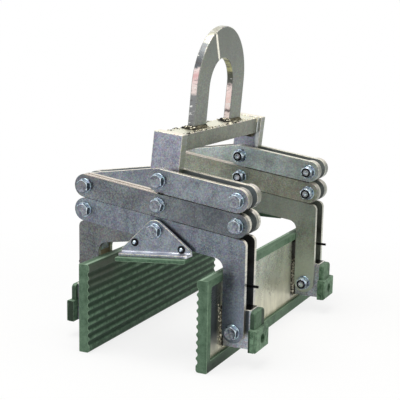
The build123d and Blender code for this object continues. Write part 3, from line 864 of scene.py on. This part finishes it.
def spatter(bm, middle, out, size, chance, rough):
    """A flattened drop of weld metal stuck to a face, or a rough lump of it."""
    aside = out.orthogonal().normalized()
    above = out.cross(aside)
    rings = []
    for reach_out, lift in ((0.9, -0.25), (1.0, 0.05), (0.72, 0.45), (0.3, 0.62)):
        circle = []
        for number in range(DROP_SIDES):
            angle = 2 * pi * number / DROP_SIDES
            ragged = 1.0 + chance.uniform(-rough, rough)
            around = reach_out * (cos(angle) * aside + sin(angle) * above)
            circle.append(bm.verts.new(middle + size * ragged * (around + lift * out)))
        rings.append(circle)
    skin(bm, rings)


def weld_scale_group():
    """Dark scale on weld metal, with paler rubbed ripples and specks."""
    tree, given, wanted = new_group(
        "weld scale",
        [
            ("Light", "Color", (0.3, 0.3, 0.2, 1.0)),
            ("Dark", "Color", (0.01, 0.01, 0.01, 1.0)),
            ("Low", "Float", 0.58),
            ("High", "Float", 0.98),
        ],
        [("Colour", "Color"), ("Roughness", "Float"), ("Height", "Float")],
    )
    place = add(tree, "TexCoord").outputs["Object"]
    crust = grain(tree, place, 210.0, detail=5.0, rough=0.7)
    specks = grain(tree, place, 900.0, detail=2.0)
    share = spread(tree, reckon(tree, "MULTIPLY_ADD", specks, 0.5, crust), given["Low"], given["High"])
    tree.links.new(blend_colour(tree, share, given["Dark"], given["Light"]), wanted["Colour"])
    tree.links.new(spread(tree, share, 0.0, 1.0, 0.62, 0.36), wanted["Roughness"])
    tree.links.new(crust, wanted["Height"])
    return tree


WELD_SCALE = weld_scale_group()


def heat_stained(name, light, dark, low=0.58, high=0.98):
    """Weld metal. The further apart low and high are, the softer its light patches end."""
    material, tree, shader = new_material(name)
    values = {"Light": tint(light), "Dark": tint(dark), "Low": low, "High": high}
    coat = add(tree, "Group", {"node_tree": WELD_SCALE}, **values)
    shade(tree, shader, *coat.outputs, strength=0.6, depth=0.0003)
    shader.inputs["Metallic"].default_value = 0.7
    return material


weld_metal = heat_stained("weld metal", WELD_LIGHT, WELD_DARK)
burnt_metal = heat_stained("burnt weld lumps", WELD_LIGHT, BURNT_DARK, low=0.78, high=1.05)
spatter_metal = heat_stained("weld spatter", SPATTER_LIGHT, SPATTER_DARK, low=0.5, high=0.8)
chance = random.Random(7)
up_yoke = on_yoke(0, 0, 1) - on_yoke(0, 0, 0)


def either_side(near, far):
    """A distance to one side or to the other."""
    return chance.choice((-1, 1)) * chance.uniform(near, far)


def strew(bm, count, across, along, sizes, rough=0.35):
    """Drops of weld metal on top of the crossbar, each where across and along happen to give."""
    for number in range(count):
        spatter(bm, on_yoke(across(), along(), BAR_HIGH), up_yoke, chance.uniform(*sizes), chance, rough)


bm = bmesh.new()
left, right = FOOT_ACROSS - EYE_HALF, FOOT_ACROSS + EYE_HALF
for foot in (-1, 1):
    outer, inner = EYE_ALONG + foot * EYE_OUTER, EYE_ALONG + foot * EYE_INNER
    for across in (left, right):
        ends = on_yoke(across, outer, BAR_HIGH), on_yoke(across, inner, BAR_HIGH)
        bead(bm, *ends, FOOT_BEAD, chance, rough=0.14)
    for along in (outer, inner):
        ends = on_yoke(left, along, BAR_HIGH), on_yoke(right, along, BAR_HIGH)
        bead(bm, *ends, FOOT_END_BEAD, chance, rough=0.14)
    hang = foot * (CROSSBAR_HALF - UNDER_INSET)
    low = BAR_LOW - UNDER_DROP
    ends = on_yoke(-BAR_HALF, hang, low), on_yoke(BAR_HALF - UNDER_INSET, hang, low)
    bead(bm, *ends, UNDER_BEAD, chance, rough=0.1)
finished("yoke_weld_beads", bm, [weld_metal], "yoke", smooth=60)

bm = bmesh.new()
for foot, front_edge, ahead in FEET:
    strew(
        bm, 30, lambda: FOOT_ACROSS + chance.uniform(-0.0125, 0.0125),
        lambda: front_edge - chance.uniform(-0.002, ahead), (0.0018, 0.0052),
    )
    strew(
        bm, 9, lambda: FOOT_ACROSS + chance.uniform(-0.009, 0.011),
        lambda: front_edge - chance.uniform(0.002, 0.008), (0.005, 0.0085), rough=0.4,
    )
    strew(
        bm, 16, lambda: FOOT_ACROSS + either_side(0.008, 0.013),
        lambda: EYE_ALONG + foot * chance.uniform(EYE_INNER, EYE_OUTER), (0.0012, 0.0036),
    )
strew(
    bm, 90, lambda: chance.choice((chance.uniform(0.017, 0.0224), chance.uniform(-0.0224, -0.012))),
    lambda: chance.uniform(-CROSSBAR_HALF, 0.1), (0.0008, 0.0024),
)
finished("yoke_burnt_lumps", bm, [burnt_metal], "yoke", smooth=60)

bm = bmesh.new()
for foot in (-1, 1):
    strew(
        bm, 54, lambda: FOOT_ACROSS + either_side(0.009, 0.019),
        lambda: EYE_ALONG + foot * chance.uniform(0.042, 0.136), (0.0006, 0.0024), rough=0.25,
    )
strew(
    bm, 90, lambda: either_side(0.0195, 0.0222), lambda: chance.uniform(-CROSSBAR_HALF, CROSSBAR_HALF),
    (0.0008, 0.0026), rough=0.3,
)
for foot, front_edge, ahead in FEET:
    for number in range(18):
        across = chance.uniform(-0.008, 0.012)
        high = BAR_HIGH + chance.uniform(0.002, 0.0055)
        drop = on_yoke(across, front_edge - chance.uniform(0.003, 0.012), high)
        spatter(bm, drop, up_yoke, 0.002, chance, rough=0.3)
for number in range(14):
    high = BAR_HIGH - chance.uniform(0.0, 0.012)
    drop = on_yoke(BAR_HALF, CROSSBAR_HALF - chance.uniform(-0.002, 0.008), high)
    spatter(bm, drop, Vector((1.0, 0.0, 0.0)), chance.uniform(0.0008, 0.002), chance, rough=0.3)
finished("yoke_weld_spatter", bm, [spatter_metal], "yoke", smooth=60)

bm = bmesh.new()
for butt in (-CROSSBAR_HALF, CROSSBAR_HALF):
    for across in (-BAR_HALF, BAR_HALF):
        bead(bm, on_yoke(across, butt, BAR_LOW), on_yoke(across, butt, BAR_HIGH), BUTT_BEAD, chance)
finished("yoke_butt_welds", bm, [yoke_zinc], "yoke", smooth=60)

# Ground seam of the eye: a pale weld across the arch near its crown, on both faces and over the
# outer rim, ground nearly flush with the plate.
EYE_CENTRE = 0.1736
EYE_INNER_DROP = 0.0056
SEAM_ANGLE = radians(116.3)
SEAM_HALF = 0.0034
SEAM_SUNK = 0.0012
SEAM_SHORT = 0.002
SEAM_INSET = 0.003
SEAM_LIGHT = (250, 246, 232)
SEAM_SHADE = (206, 202, 184)
GROUND = {"rough": 0.05, "flat": 0.3, "sides": 14}


def on_seam(across, radius):
    """A point of the eye on the line of its seam, across the plate and out from the arch's middle."""
    along = EYE_ALONG + radius * cos(SEAM_ANGLE)
    return on_yoke(across, along, EYE_CENTRE + radius * sin(SEAM_ANGLE), EYE_LEAN)


bm = bmesh.new()
eye_side = on_yoke(1, 0, 0, EYE_LEAN) - on_yoke(0, 0, 0, EYE_LEAN)
seam_start = EYE_INNER + SEAM_SUNK - EYE_INNER_DROP * sin(SEAM_ANGLE)
for across in (-EYE_HALF, EYE_HALF):
    ends = on_seam(across, seam_start), on_seam(across, EYE_OUTER - SEAM_SHORT)
    bead(bm, *ends, SEAM_HALF, chance, facing=eye_side, **GROUND)
outward = Vector((0.0, cos(SEAM_ANGLE), sin(SEAM_ANGLE)))
ends = [on_seam(across, EYE_OUTER - SEAM_SUNK) for across in (SEAM_INSET - EYE_HALF, EYE_HALF - SEAM_INSET)]
bead(bm, *ends, SEAM_HALF, chance, facing=outward, **GROUND)
seam_metal = heat_stained("ground seam", SEAM_LIGHT, SEAM_SHADE, low=0.4, high=0.7)
finished("eye_ground_seam", bm, [seam_metal], "yoke", smooth=60)

# Jaw back plates: 8 mm flat steel set in the rubber liners, galvanised, olive at the top, darker at
# the front end, with painted shade beside the rear lugs and a pale beige painted reflection of the
# floor towards the bottom.
JAW_LIGHT = (202, 208, 192)
JAW_DARK = (142, 150, 138)
# Painted reflection of the floor, pale beige towards the bottom.
JAW_FLOOR_REFLECTION_LIGHT = (220, 217, 192)
JAW_FLOOR_REFLECTION_DARK = (190, 188, 164)
# Darker at the front end.
JAW_FRONT_DARK = (72, 78, 77)
LUG_SHADE_ON_PLATE = (58, 54, 46)
FLOOR_REFLECTION_HEIGHT = (0.125, 0.045)
FRONT_DARK_ALONG = (-0.222, -0.246)
FRONT_DARK_HEIGHT = (0.02, 0.07)
SHADE_FROM = (0.16, 0.168)
SHADE_TO = (0.236, 0.23)
SHADE_HEIGHT = (0.024, 0.034)
JAW_EDGE = 0.0006

jaw_zinc = zinc("jaw plate zinc", JAW_LIGHT, JAW_DARK, gloss=0.2, metal=0.45, Cloud_Scale=9.0, Runs=0.25)
tree, spot, place, facing = surface_of(jaw_zinc)
broad = grain(tree, spot, 9.0, detail=4.0)
uneven = reckon(tree, "MULTIPLY_ADD", broad, 0.06, reckon(tree, "SUBTRACT", place[Z], 0.03))
fine = spread(tree, grain(tree, spot, 60.0, stretch=(1.0, 1.0, 0.3)), 0.35, 0.65)
floor_reflection = blend_colour(tree, fine, tint(JAW_FLOOR_REFLECTION_DARK), tint(JAW_FLOOR_REFLECTION_LIGHT))
dark_front_end = spread(tree, place[Y], *FRONT_DARK_ALONG)
by_lug = overlap(tree, spread(tree, place[Y], *SHADE_FROM), spread(tree, place[Y], *SHADE_TO))
lay_over(jaw_zinc, floor_reflection, spread(tree, uneven, *FLOOR_REFLECTION_HEIGHT))
lay_over(jaw_zinc, JAW_FRONT_DARK, dark_front_end, spread(tree, uneven, *FRONT_DARK_HEIGHT))
lay_over(jaw_zinc, LUG_SHADE_ON_PLATE, by_lug, spread(tree, uneven, *SHADE_HEIGHT))
for side in ("right", "left"):
    dress(nodes[f"{side}_jaw_plate"], jaw_zinc, worn_highlit_edge, JAW_EDGE)

# Jaw lugs and stay pins: thick steel blocks welded to the back plates, which turn on the jaw
# bolts between the leg plates, and black pins above them. The galvanised lugs carry painted shade
# on top, beside the legs and by the plate, with painted highlights as pale rims at their outer ends.
LUG_TOP = 0.112
LUG_END_X = 0.195
LUG_EDGE = 0.0012
PIN_BOTTOM = 0.13
LUG_LIGHT = (186, 189, 198)
LUG_DARK = (126, 129, 136)
LUG_SHADE = (40, 36, 31)
LUG_SHADE_X = (0.139, 0.1365)
LUG_TOP_SHADE = (20, 20, 18)
# Painted shade beside the legs.
LUG_SHADE_BY_LEG = (60, 67, 74)
BY_LEG_HEIGHT = (0.056, 0.07)
BY_LEG_X = (LUG_END_X - 0.0036, LUG_END_X - 0.006)
# Painted highlight along the top and outer end of each lug.
LUG_RIM_HIGHLIGHT = (240, 236, 226)
TOP_RIM_HEIGHT = (LUG_TOP - 0.002, LUG_TOP - 0.0014)
END_RIM_X = (LUG_END_X - 0.003, LUG_END_X - 0.002)
PIN_BLACK = (22, 23, 24)

lug_zinc = zinc("lug zinc", LUG_LIGHT, LUG_DARK, Cloud_Scale=30.0)
tree, spot, place, facing = surface_of(lug_zinc)
out_x = reckon(tree, "ABSOLUTE", place[X], 0.0)
forward = spread(tree, facing[Y], -0.3, -0.7)
upward = spread(tree, facing[Z], 0.3, 0.8)
in_front = reckon(tree, "LESS_THAN", place[Y], 0.0)
by_leg = spread(tree, out_x, *BY_LEG_X)
top_line = spread(tree, place[Z], *TOP_RIM_HEIGHT)
end_line = spread(tree, out_x, *END_RIM_X)
lay_over(lug_zinc, LUG_SHADE_BY_LEG, by_leg, spread(tree, place[Z], *BY_LEG_HEIGHT), in_front, forward)
lay_over(lug_zinc, LUG_RIM_HIGHLIGHT, top_line, forward)
lay_over(lug_zinc, LUG_TOP_SHADE, upward)
lay_over(lug_zinc, LUG_RIM_HIGHLIGHT, end_line, upward)
lay_over(lug_zinc, LUG_SHADE, spread(tree, out_x, *LUG_SHADE_X))
lay_over(lug_zinc, PIN_BLACK, reckon(tree, "GREATER_THAN", place[Z], PIN_BOTTOM))
for side in ("right", "left"):
    dress(nodes[f"{side}_jaw_lugs"], lug_zinc, lug_zinc, LUG_EDGE)

# Lug welds: beads round the lugs on the back plates, galvanised over, so they are pale and
# pitted, with drops of spatter stuck to the plate.
JAW_BACK_X = 0.1316
LUG_LOW = 0.034
LUG_INSET = 0.0103
LUG_THICK = 0.0349
LUG_BEAD = 0.0038
DROPS = 52
DROPS_AHEAD = (0.005, 0.013)
DROPS_BEHIND = (0.005, 0.02)
DROP_HEIGHTS = (0.026, 0.12)
DROP_SIZES = (0.0006, 0.0021)
PALE_WELD = (240, 235, 212)
WELD_PIT = (26, 22, 18)

pale_weld = heat_stained("pale pitted weld", PALE_WELD, WELD_PIT, low=0.68, high=0.84)
for side, sign, offset in (("right", 1, 0.0), ("left", -1, PLATE + LAYER_GAP)):
    beads = bmesh.new()
    drops = bmesh.new()
    back_x = sign * JAW_BACK_X
    out = Vector((sign, 0, 0))
    for start in (FRONT_Y, REAR_Y):
        near = start + offset + LUG_INSET
        far = near + LUG_THICK
        for y in (near, far):
            ends = Vector((back_x, y, LUG_LOW)), Vector((back_x, y, LUG_TOP))
            bead(beads, *ends, LUG_BEAD, chance, rough=0.16)
        for z in (LUG_LOW, LUG_TOP):
            ends = Vector((back_x, near, z)), Vector((back_x, far, z))
            bead(beads, *ends, LUG_BEAD, chance, rough=0.16)
        for number in range(DROPS):
            y = chance.choice((near - chance.uniform(*DROPS_AHEAD), far + chance.uniform(*DROPS_BEHIND)))
            z = chance.uniform(*DROP_HEIGHTS)
            spatter(drops, Vector((back_x, y, z)), out, chance.uniform(*DROP_SIZES), chance, rough=0.25)
    body = f"{side}_jaw"
    finished(f"{side}_lug_weld_beads", beads, [pale_weld], body, smooth=60)
    finished(f"{side}_lug_weld_spatter", drops, [spatter_metal], body, smooth=60)

# Jaw liners: green rubber trays moulded round the back plates, with round grooves along the
# gripping face. The rubber is mottled with a pale bloom, dusty on the rib tips, dark with dirt and
# painted shade in the grooves, darker along the bottom of the grip, with a painted shadow on the
# outer lip near the floor, a painted highlight along the top and darker inside it, and stained at
# the left jaw's upper corner.
LINER_LIGHT = (105, 132, 109)
LINER_DARK = (62, 87, 67)
LINER_DUST = (126, 150, 128)
GRIP_TIP = (128, 162, 134)
# Dirt and painted shade in the grooves, also laid darker along the bottom of the grip.
GRIP_DIRT_AND_SHADE = (50, 74, 57)
GRIP_BOTTOM_DARK_HEIGHT = (0.016, 0.008)
GRIP_STAIN = (82, 84, 76)
STAIN_HEIGHT = (0.112, 0.145)
STAIN_ALONG = (-0.14, -0.22)
# Painted shadow on the outer lip near the floor, at the front.
LIP_SHADOW = (42, 56, 45)
LIP_SHADOW_HEIGHT = (0.03, 0.012)
LIP_SHADOW_ALONG = (-0.1, -0.26)
# Painted highlight along the top's outer edge.
TOP_EDGE_HIGHLIGHT = (158, 184, 160)
TOP_DARK = (88, 110, 91)
TOP_INNER_X = 0.1252
TOP_OUTER_X = 0.1262
# Edge rounds of the rubber: scuffed, and pale as a painted highlight.
RUBBER_SCUFF_AND_HIGHLIGHT = (150, 176, 150)
GRIP_FACE_X = 0.1150
GROOVE_BOTTOM_X = 0.1182
LINER_EDGE = 0.0007


def rubber_group():
    """Mottled green rubber with a pale bloom and fine pores."""
    tree, given, wanted = new_group(
        "bloomed rubber",
        [
            ("Light", "Color", (0.2, 0.3, 0.2, 1.0)),
            ("Dark", "Color", (0.05, 0.09, 0.05, 1.0)),
            ("Dust", "Color", (0.3, 0.4, 0.3, 1.0)),
            ("Bloom Scale", "Float", 60.0),
        ],
        [("Colour", "Color"), ("Roughness", "Float"), ("Height", "Float")],
    )
    surface = add(tree, "TexCoord").outputs
    place = surface["Object"]
    bloom = grain(tree, place, given["Bloom Scale"], detail=6.0, rough=0.66)
    broad = grain(tree, place, 14.0)
    pores = grain(tree, place, 700.0)
    patch = reckon(tree, "MULTIPLY_ADD", pores, 0.35, reckon(tree, "MULTIPLY_ADD", broad, 0.5, bloom))
    colour = blend_colour(tree, spread(tree, patch, 0.74, 1.1), given["Dark"], given["Light"])
    upward = spread(tree, split(tree, surface["Normal"])[Z], 0.5, 0.9)
    dusty = overlap(tree, upward, spread(tree, patch, 0.8, 1.05, 0.35, 0.9))
    tree.links.new(blend_colour(tree, dusty, colour, given["Dust"]), wanted["Colour"])
    tree.links.new(spread(tree, bloom, 0.3, 0.7, 0.5, 0.72), wanted["Roughness"])
    tree.links.new(reckon(tree, "MULTIPLY_ADD", pores, 0.6, bloom), wanted["Height"])
    return tree


BLOOMED_RUBBER = rubber_group()


def rubber(name, light, dark, bloom=60.0):
    """A green rubber finish."""
    material, tree, shader = new_material(name)
    values = {"Light": tint(light), "Dark": tint(dark), "Dust": tint(LINER_DUST), "Bloom_Scale": bloom}
    coat = add(tree, "Group", {"node_tree": BLOOMED_RUBBER}, **values)
    shade(tree, shader, *coat.outputs, strength=0.45, depth=0.0004)
    shader.inputs["Specular IOR Level"].default_value = 0.22
    return material


liner_rubber = rubber("liner rubber", LINER_LIGHT, LINER_DARK)
tree, spot, place, facing = surface_of(liner_rubber)
out_x = reckon(tree, "ABSOLUTE", place[X], 0.0)
outward = reckon(tree, "MULTIPLY", reckon(tree, "SIGN", place[X], 0.0), facing[X])
upward = spread(tree, facing[Z], 0.6, 0.85)
dusty = grain(tree, spot, 90.0, detail=5.0, rough=0.65)
stained = overlap(
    tree, spread(tree, place[Z], *STAIN_HEIGHT), spread(tree, place[Y], *STAIN_ALONG),
    reckon(tree, "LESS_THAN", place[X], 0.0), spread(tree, dusty, 0.3, 0.6, 0.4, 0.8),
)
grip = blend_colour(tree, spread(tree, dusty, 0.3, 0.7), tint(LINER_DARK), tint(GRIP_TIP))
grip = blend_colour(tree, spread(tree, place[Z], *GRIP_BOTTOM_DARK_HEIGHT, 0.0, 0.7), grip, tint(GRIP_DIRT_AND_SHADE))
grip = blend_colour(tree, stained, grip, tint(GRIP_STAIN))
depth = spread(tree, out_x, GRIP_FACE_X + 0.0003, GROOVE_BOTTOM_X)
grip = blend_colour(tree, reckon(tree, "POWER", depth, 0.7), grip, tint(GRIP_DIRT_AND_SHADE))
grip = blend_colour(tree, overlap(tree, stained, 0.5), grip, tint(GRIP_STAIN))
in_lip_shadow = overlap(tree, spread(tree, place[Z], *LIP_SHADOW_HEIGHT), spread(tree, place[Y], *LIP_SHADOW_ALONG))
lay_over(liner_rubber, LIP_SHADOW, in_lip_shadow, spread(tree, outward, 0.3, 0.6))
lay_over(liner_rubber, TOP_EDGE_HIGHLIGHT, upward, spread(tree, out_x, TOP_OUTER_X, TOP_INNER_X, 0.0, 0.75))
lay_over(liner_rubber, TOP_DARK, upward, spread(tree, out_x, TOP_INNER_X, TOP_OUTER_X, 0.0, 0.7))
lay_over(liner_rubber, grip, spread(tree, outward, -0.2, -0.45))
scuffed_highlit_rubber = rubber("scuffed rubber edge with painted highlight", RUBBER_SCUFF_AND_HIGHLIGHT, LINER_LIGHT, bloom=120.0)
for side in ("right", "left"):
    dress(nodes[f"{side}_jaw_liner"], liner_rubber, scuffed_highlit_rubber, LINER_EDGE)

# Buffers: stepped green rubber blocks on the outer ends of the lugs, moulded with a recess over
# the fixing and a mould line along each side. The front ones carry painted shade on the upper
# step, behind it and in the corner by the lug.
BUFFER_LIGHT = (121, 152, 125)
BUFFER_DARK = (50, 76, 55)
BUFFER_SHADE = (54, 72, 58)
# Painted shade on the upper step and in the creases.
BUFFER_UPPER_SHADE = (66, 92, 70)
BUFFER_CREASE_SHADE = (42, 58, 44)
BUFFER_SPLIT = 0.0765
SPLIT_SOFT = 0.001
BUFFER_MIDDLE = FRONT_Y + LUG_INSET + LUG_THICK / 2
BACK_CREASE_Y = (BUFFER_MIDDLE + 0.006, BUFFER_MIDDLE + 0.009)
LUG_CREASE_X = (LUG_END_X + 0.0042, LUG_END_X + 0.003)
BUFFER_EDGE = 0.0011

buffer_rubber = rubber("buffer rubber", BUFFER_LIGHT, BUFFER_DARK, bloom=105.0)
tree, spot, place, facing = surface_of(buffer_rubber)
forward = spread(tree, facing[Y], -0.7, -0.9)
outward = spread(tree, facing[X], 0.7, 0.9)
in_front = reckon(tree, "LESS_THAN", place[Y], 0.0)
upper = overlap(tree, spread(tree, place[Z], BUFFER_SPLIT, BUFFER_SPLIT + SPLIT_SOFT), in_front)
lower = overlap(tree, spread(tree, place[Z], BUFFER_SPLIT, BUFFER_SPLIT - SPLIT_SOFT), in_front)
behind = spread(tree, place[Y], *BACK_CREASE_Y)
by_lug = spread(tree, place[X], *LUG_CREASE_X)
lay_over(buffer_rubber, BUFFER_SHADE, upper, forward, 0.85)
lay_over(buffer_rubber, BUFFER_UPPER_SHADE, upper, outward, 0.6)
lay_over(buffer_rubber, BUFFER_CREASE_SHADE, upper, outward, behind)
lay_over(buffer_rubber, BUFFER_CREASE_SHADE, lower, forward, by_lug)
for side in ("right", "left"):
    dress(nodes[f"{side}_jaw_buffers"], buffer_rubber, scuffed_highlit_rubber, BUFFER_EDGE)

# Slab rests: 6 mm plates bent to a foot and hung on the low pivot bolts, galvanised, with green
# rubber pads under the feet, and a painted highlight on the bend, the foot and the edges.
REST_LIGHT = (147, 154, 162)
REST_DARK = (106, 113, 121)
# Painted highlight on the bend, the foot and the edges.
REST_BEND_HIGHLIGHT = (234, 236, 246)
REST_UPRIGHT = (0.0, 0.62, 0.0)
REST_EDGE = 0.001
PAD_LIGHT = (102, 132, 108)
PAD_DARK = (60, 88, 66)

rest_zinc = zinc(
    "rest zinc", REST_LIGHT, REST_DARK, Cloud_Scale=36.0, Cut=REST_BEND_HIGHLIGHT, Cut_Top=REST_BEND_HIGHLIGHT,
    Flat_Side=REST_UPRIGHT, Cut_Share=1.7,
)
pad_rubber = rubber("pad rubber", PAD_LIGHT, PAD_DARK, bloom=90.0)
for end in ("front", "rear"):
    dress(nodes[f"rest_plate_{end}"], rest_zinc, worn_highlit_edge, REST_EDGE)
    dress(nodes[f"rest_pad_{end}"], pad_rubber, scuffed_highlit_rubber, BUFFER_EDGE)

# Rest screws: zinc-plated button heads with a hexagon socket on black rubber washers, two
# through the upright of each rest, holding the bracket of its pad. The black washers stand in for
# the shade round each head.
SCREW_R = 0.0042
SCREW_H = 0.0034
SCREW_SUNK = 0.0006
SCREW_SIDES = 48
RUBBER_WASHER_R = 0.0078
RUBBER_WASHER_T = 0.0014
RUBBER_WASHER_HOLE_R = 0.003
SOCKET_FLATS = 0.004
SOCKET_DEPTH = 0.0022
SOCKET_TAPER = 0.97
REST_FACE = 0.0135
# Each rest's outer face, the way it looks along Y, its tilt, and its screws from the pivot.
REST_SCREWS = {
    "front": (FRONT_Y - REST_FACE, -1, radians(4.4), [(-0.0444, -0.0237), (0.0554, -0.0348)]),
    "rear": (REAR_Y + STACK_DEPTH + REST_FACE, 1, 0.0, [(-0.05, -0.03), (0.05, -0.03)]),
}
RUBBER_WASHER = [
    (RUBBER_WASHER_HOLE_R, 0.0), (RUBBER_WASHER_R, 0.0), (RUBBER_WASHER_R, RUBBER_WASHER_T - 0.0004),
    (RUBBER_WASHER_R - 0.0004, RUBBER_WASHER_T), (RUBBER_WASHER_HOLE_R, RUBBER_WASHER_T),
]
# The button's round, as shares of its radius and heights.
BUTTON = ((1.0, 0.0004), (0.96, 0.0012), (0.84, 0.0022), (0.66, 0.003), (0.56, SCREW_H))

socket_outline = hexagon(SOCKET_FLATS, SCREW_SIDES)
for end, (face_y, out, tilt, screws) in REST_SCREWS.items():
    bm = bmesh.new()
    for across, up in screws:
        x = across * cos(tilt) - up * sin(tilt)
        z = MID_Z - RISE + across * sin(tilt) + up * cos(tilt)
        turned_piece(bm, x, z, face_y, out, RUBBER_WASHER, finishes=(1,), closed=True)
        seat = face_y + out * RUBBER_WASHER_T
        rings = [ring(bm, x, z, seat, [(SCREW_R, -out * SCREW_SUNK)] * SCREW_SIDES)]
        for share, lift in BUTTON:
            rings.append(ring(bm, x, z, seat, [(SCREW_R * share, out * lift)] * SCREW_SIDES))
        for share, lift in ((1.0, SCREW_H - 0.0001), (SOCKET_TAPER, SCREW_H - SOCKET_DEPTH)):
            rings.append(ring(bm, x, z, seat, [(r * share, out * lift) for r in socket_outline]))
        skin(bm, rings)
    finished(f"{end}_rest_screws", bm, [highlit_flat_zinc, nylon], f"{end}_rest")

# Studio: a white floor that keeps the shadow near the lifter and runs out into a white
# background, one large soft lamp overhead and two weaker ones at the sides.
AMBIENT = 0.42
WHITE = (1.0, 1.0, 1.0, 1.0)
FLOOR_R = 7.0
FLOOR_Z = -0.0004
PAPER_DARK = (0.93, 0.93, 0.93, 1.0)
PAPER_LIGHT = (0.96, 0.96, 0.96, 1.0)
SHADOW_NEAR = 0.5
SHADOW_FAR = 1.0
SHADOW_LIFT = 0.8
LAMPS = [
    ("overhead softbox", (-0.3, -0.5, 3.0), 2.0, 62.0, (1.0, 0.985, 0.95)),
    ("warm side panel", (2.6, 0.6, 1.0), 1.6, 14.0, (1.0, 0.95, 0.82)),
    ("cool front panel", (-1.2, -2.6, 1.2), 1.4, 6.0, (0.86, 0.92, 1.0)),
]
LAMPS_AIM = Vector((0.0, 0.0, 0.28))


def seen_directly(tree):
    """One for rays that show the background itself: to the camera, in gloss and through glass."""
    path = tree.nodes.new("ShaderNodeLightPath").outputs
    shown = reckon(tree, "MAXIMUM", path["Is Camera Ray"], path["Is Glossy Ray"])
    return reckon(tree, "MAXIMUM", shown, path["Is Transmission Ray"])


scene = bpy.context.scene
world = bpy.data.worlds.new("studio")
scene.world = world
world.use_nodes = True
tree = world.node_tree
tree.nodes.clear()
strength = reckon(tree, "MULTIPLY_ADD", seen_directly(tree), 1.0 - AMBIENT, AMBIENT)
sky = add(tree, "Background", None, Color=WHITE, Strength=strength)
tree.links.new(sky.outputs[0], tree.nodes.new("ShaderNodeOutputWorld").inputs[0])

bm = bmesh.new()
bmesh.ops.create_circle(bm, cap_ends=True, segments=96, radius=FLOOR_R)
bmesh.ops.translate(bm, verts=bm.verts, vec=(0.0, 0.0, FLOOR_Z))
mesh = bpy.data.meshes.new("floor")
bm.to_mesh(mesh)
bm.free()
floor = bpy.data.objects.new("floor", mesh)
scene.collection.objects.link(floor)
paper, tree, shader = new_material("white paper")
place = add(tree, "TexCoord").outputs["Object"]
away = add(tree, "VectorMath", {"operation": "LENGTH"}, i0=place).outputs["Value"]
lifted = spread(tree, away, SHADOW_NEAR, SHADOW_FAR, SHADOW_LIFT, 1.0)
paper_white = blend_colour(tree, grain(tree, place, 300.0), PAPER_DARK, PAPER_LIGHT)
tree.links.new(paper_white, shader.inputs["Base Color"])
shader.inputs["Roughness"].default_value = 0.9
shader.inputs["Specular IOR Level"].default_value = 0.1
glow = add(tree, "Emission", None, Color=WHITE, Strength=1.0)
mixed = tree.nodes.new("ShaderNodeMixShader")
tree.links.new(overlap(tree, lifted, seen_directly(tree)), mixed.inputs[0])
tree.links.new(shader.outputs[0], mixed.inputs[1])
tree.links.new(glow.outputs[0], mixed.inputs[2])
output = next(node for node in tree.nodes if node.type == "OUTPUT_MATERIAL")
tree.links.new(mixed.outputs[0], output.inputs[0])
mesh.materials.append(paper)

for name, place, size, power, colour in LAMPS:
    light = bpy.data.lights.new(name, "AREA")
    light.size = size
    light.energy = power
    light.color = colour
    lamp = bpy.data.objects.new(name, light)
    scene.collection.objects.link(lamp)
    lamp.location = place
    aim = LAMPS_AIM - Vector(place)
    lamp.rotation_euler = aim.to_track_quat("-Z", "Y").to_euler()

# Camera: at the photograph's viewing angle, distance and slight roll, worked out from where the
# pivots stand in it.
AZIMUTH = radians(24.95)
ELEVATION = radians(10.56)
ROLL = radians(1.01)
LOOKS_AT = Vector((0.0249, -0.0985, 0.2864))
DISTANCE = 2.0285
FOCAL_PX = 999.2
FRAME_PX = 400
SENSOR = 36.0

ahead = Vector((-sin(AZIMUTH) * cos(ELEVATION), cos(AZIMUTH) * cos(ELEVATION), -sin(ELEVATION)))
level = Vector((cos(AZIMUTH), sin(AZIMUTH), 0.0))
upward = level.cross(ahead)
across = cos(ROLL) * level + sin(ROLL) * upward
upright = -sin(ROLL) * level + cos(ROLL) * upward
lens = bpy.data.cameras.new("camera")
lens.sensor_width = SENSOR
lens.lens = FOCAL_PX / FRAME_PX * SENSOR
camera = bpy.data.objects.new("camera", lens)
scene.collection.objects.link(camera)
pose = Matrix((across, upright, -ahead)).transposed().to_4x4()
pose.translation = LOOKS_AT - DISTANCE * ahead
camera.matrix_world = pose
scene.camera = camera
scene.view_settings.view_transform = "Standard"
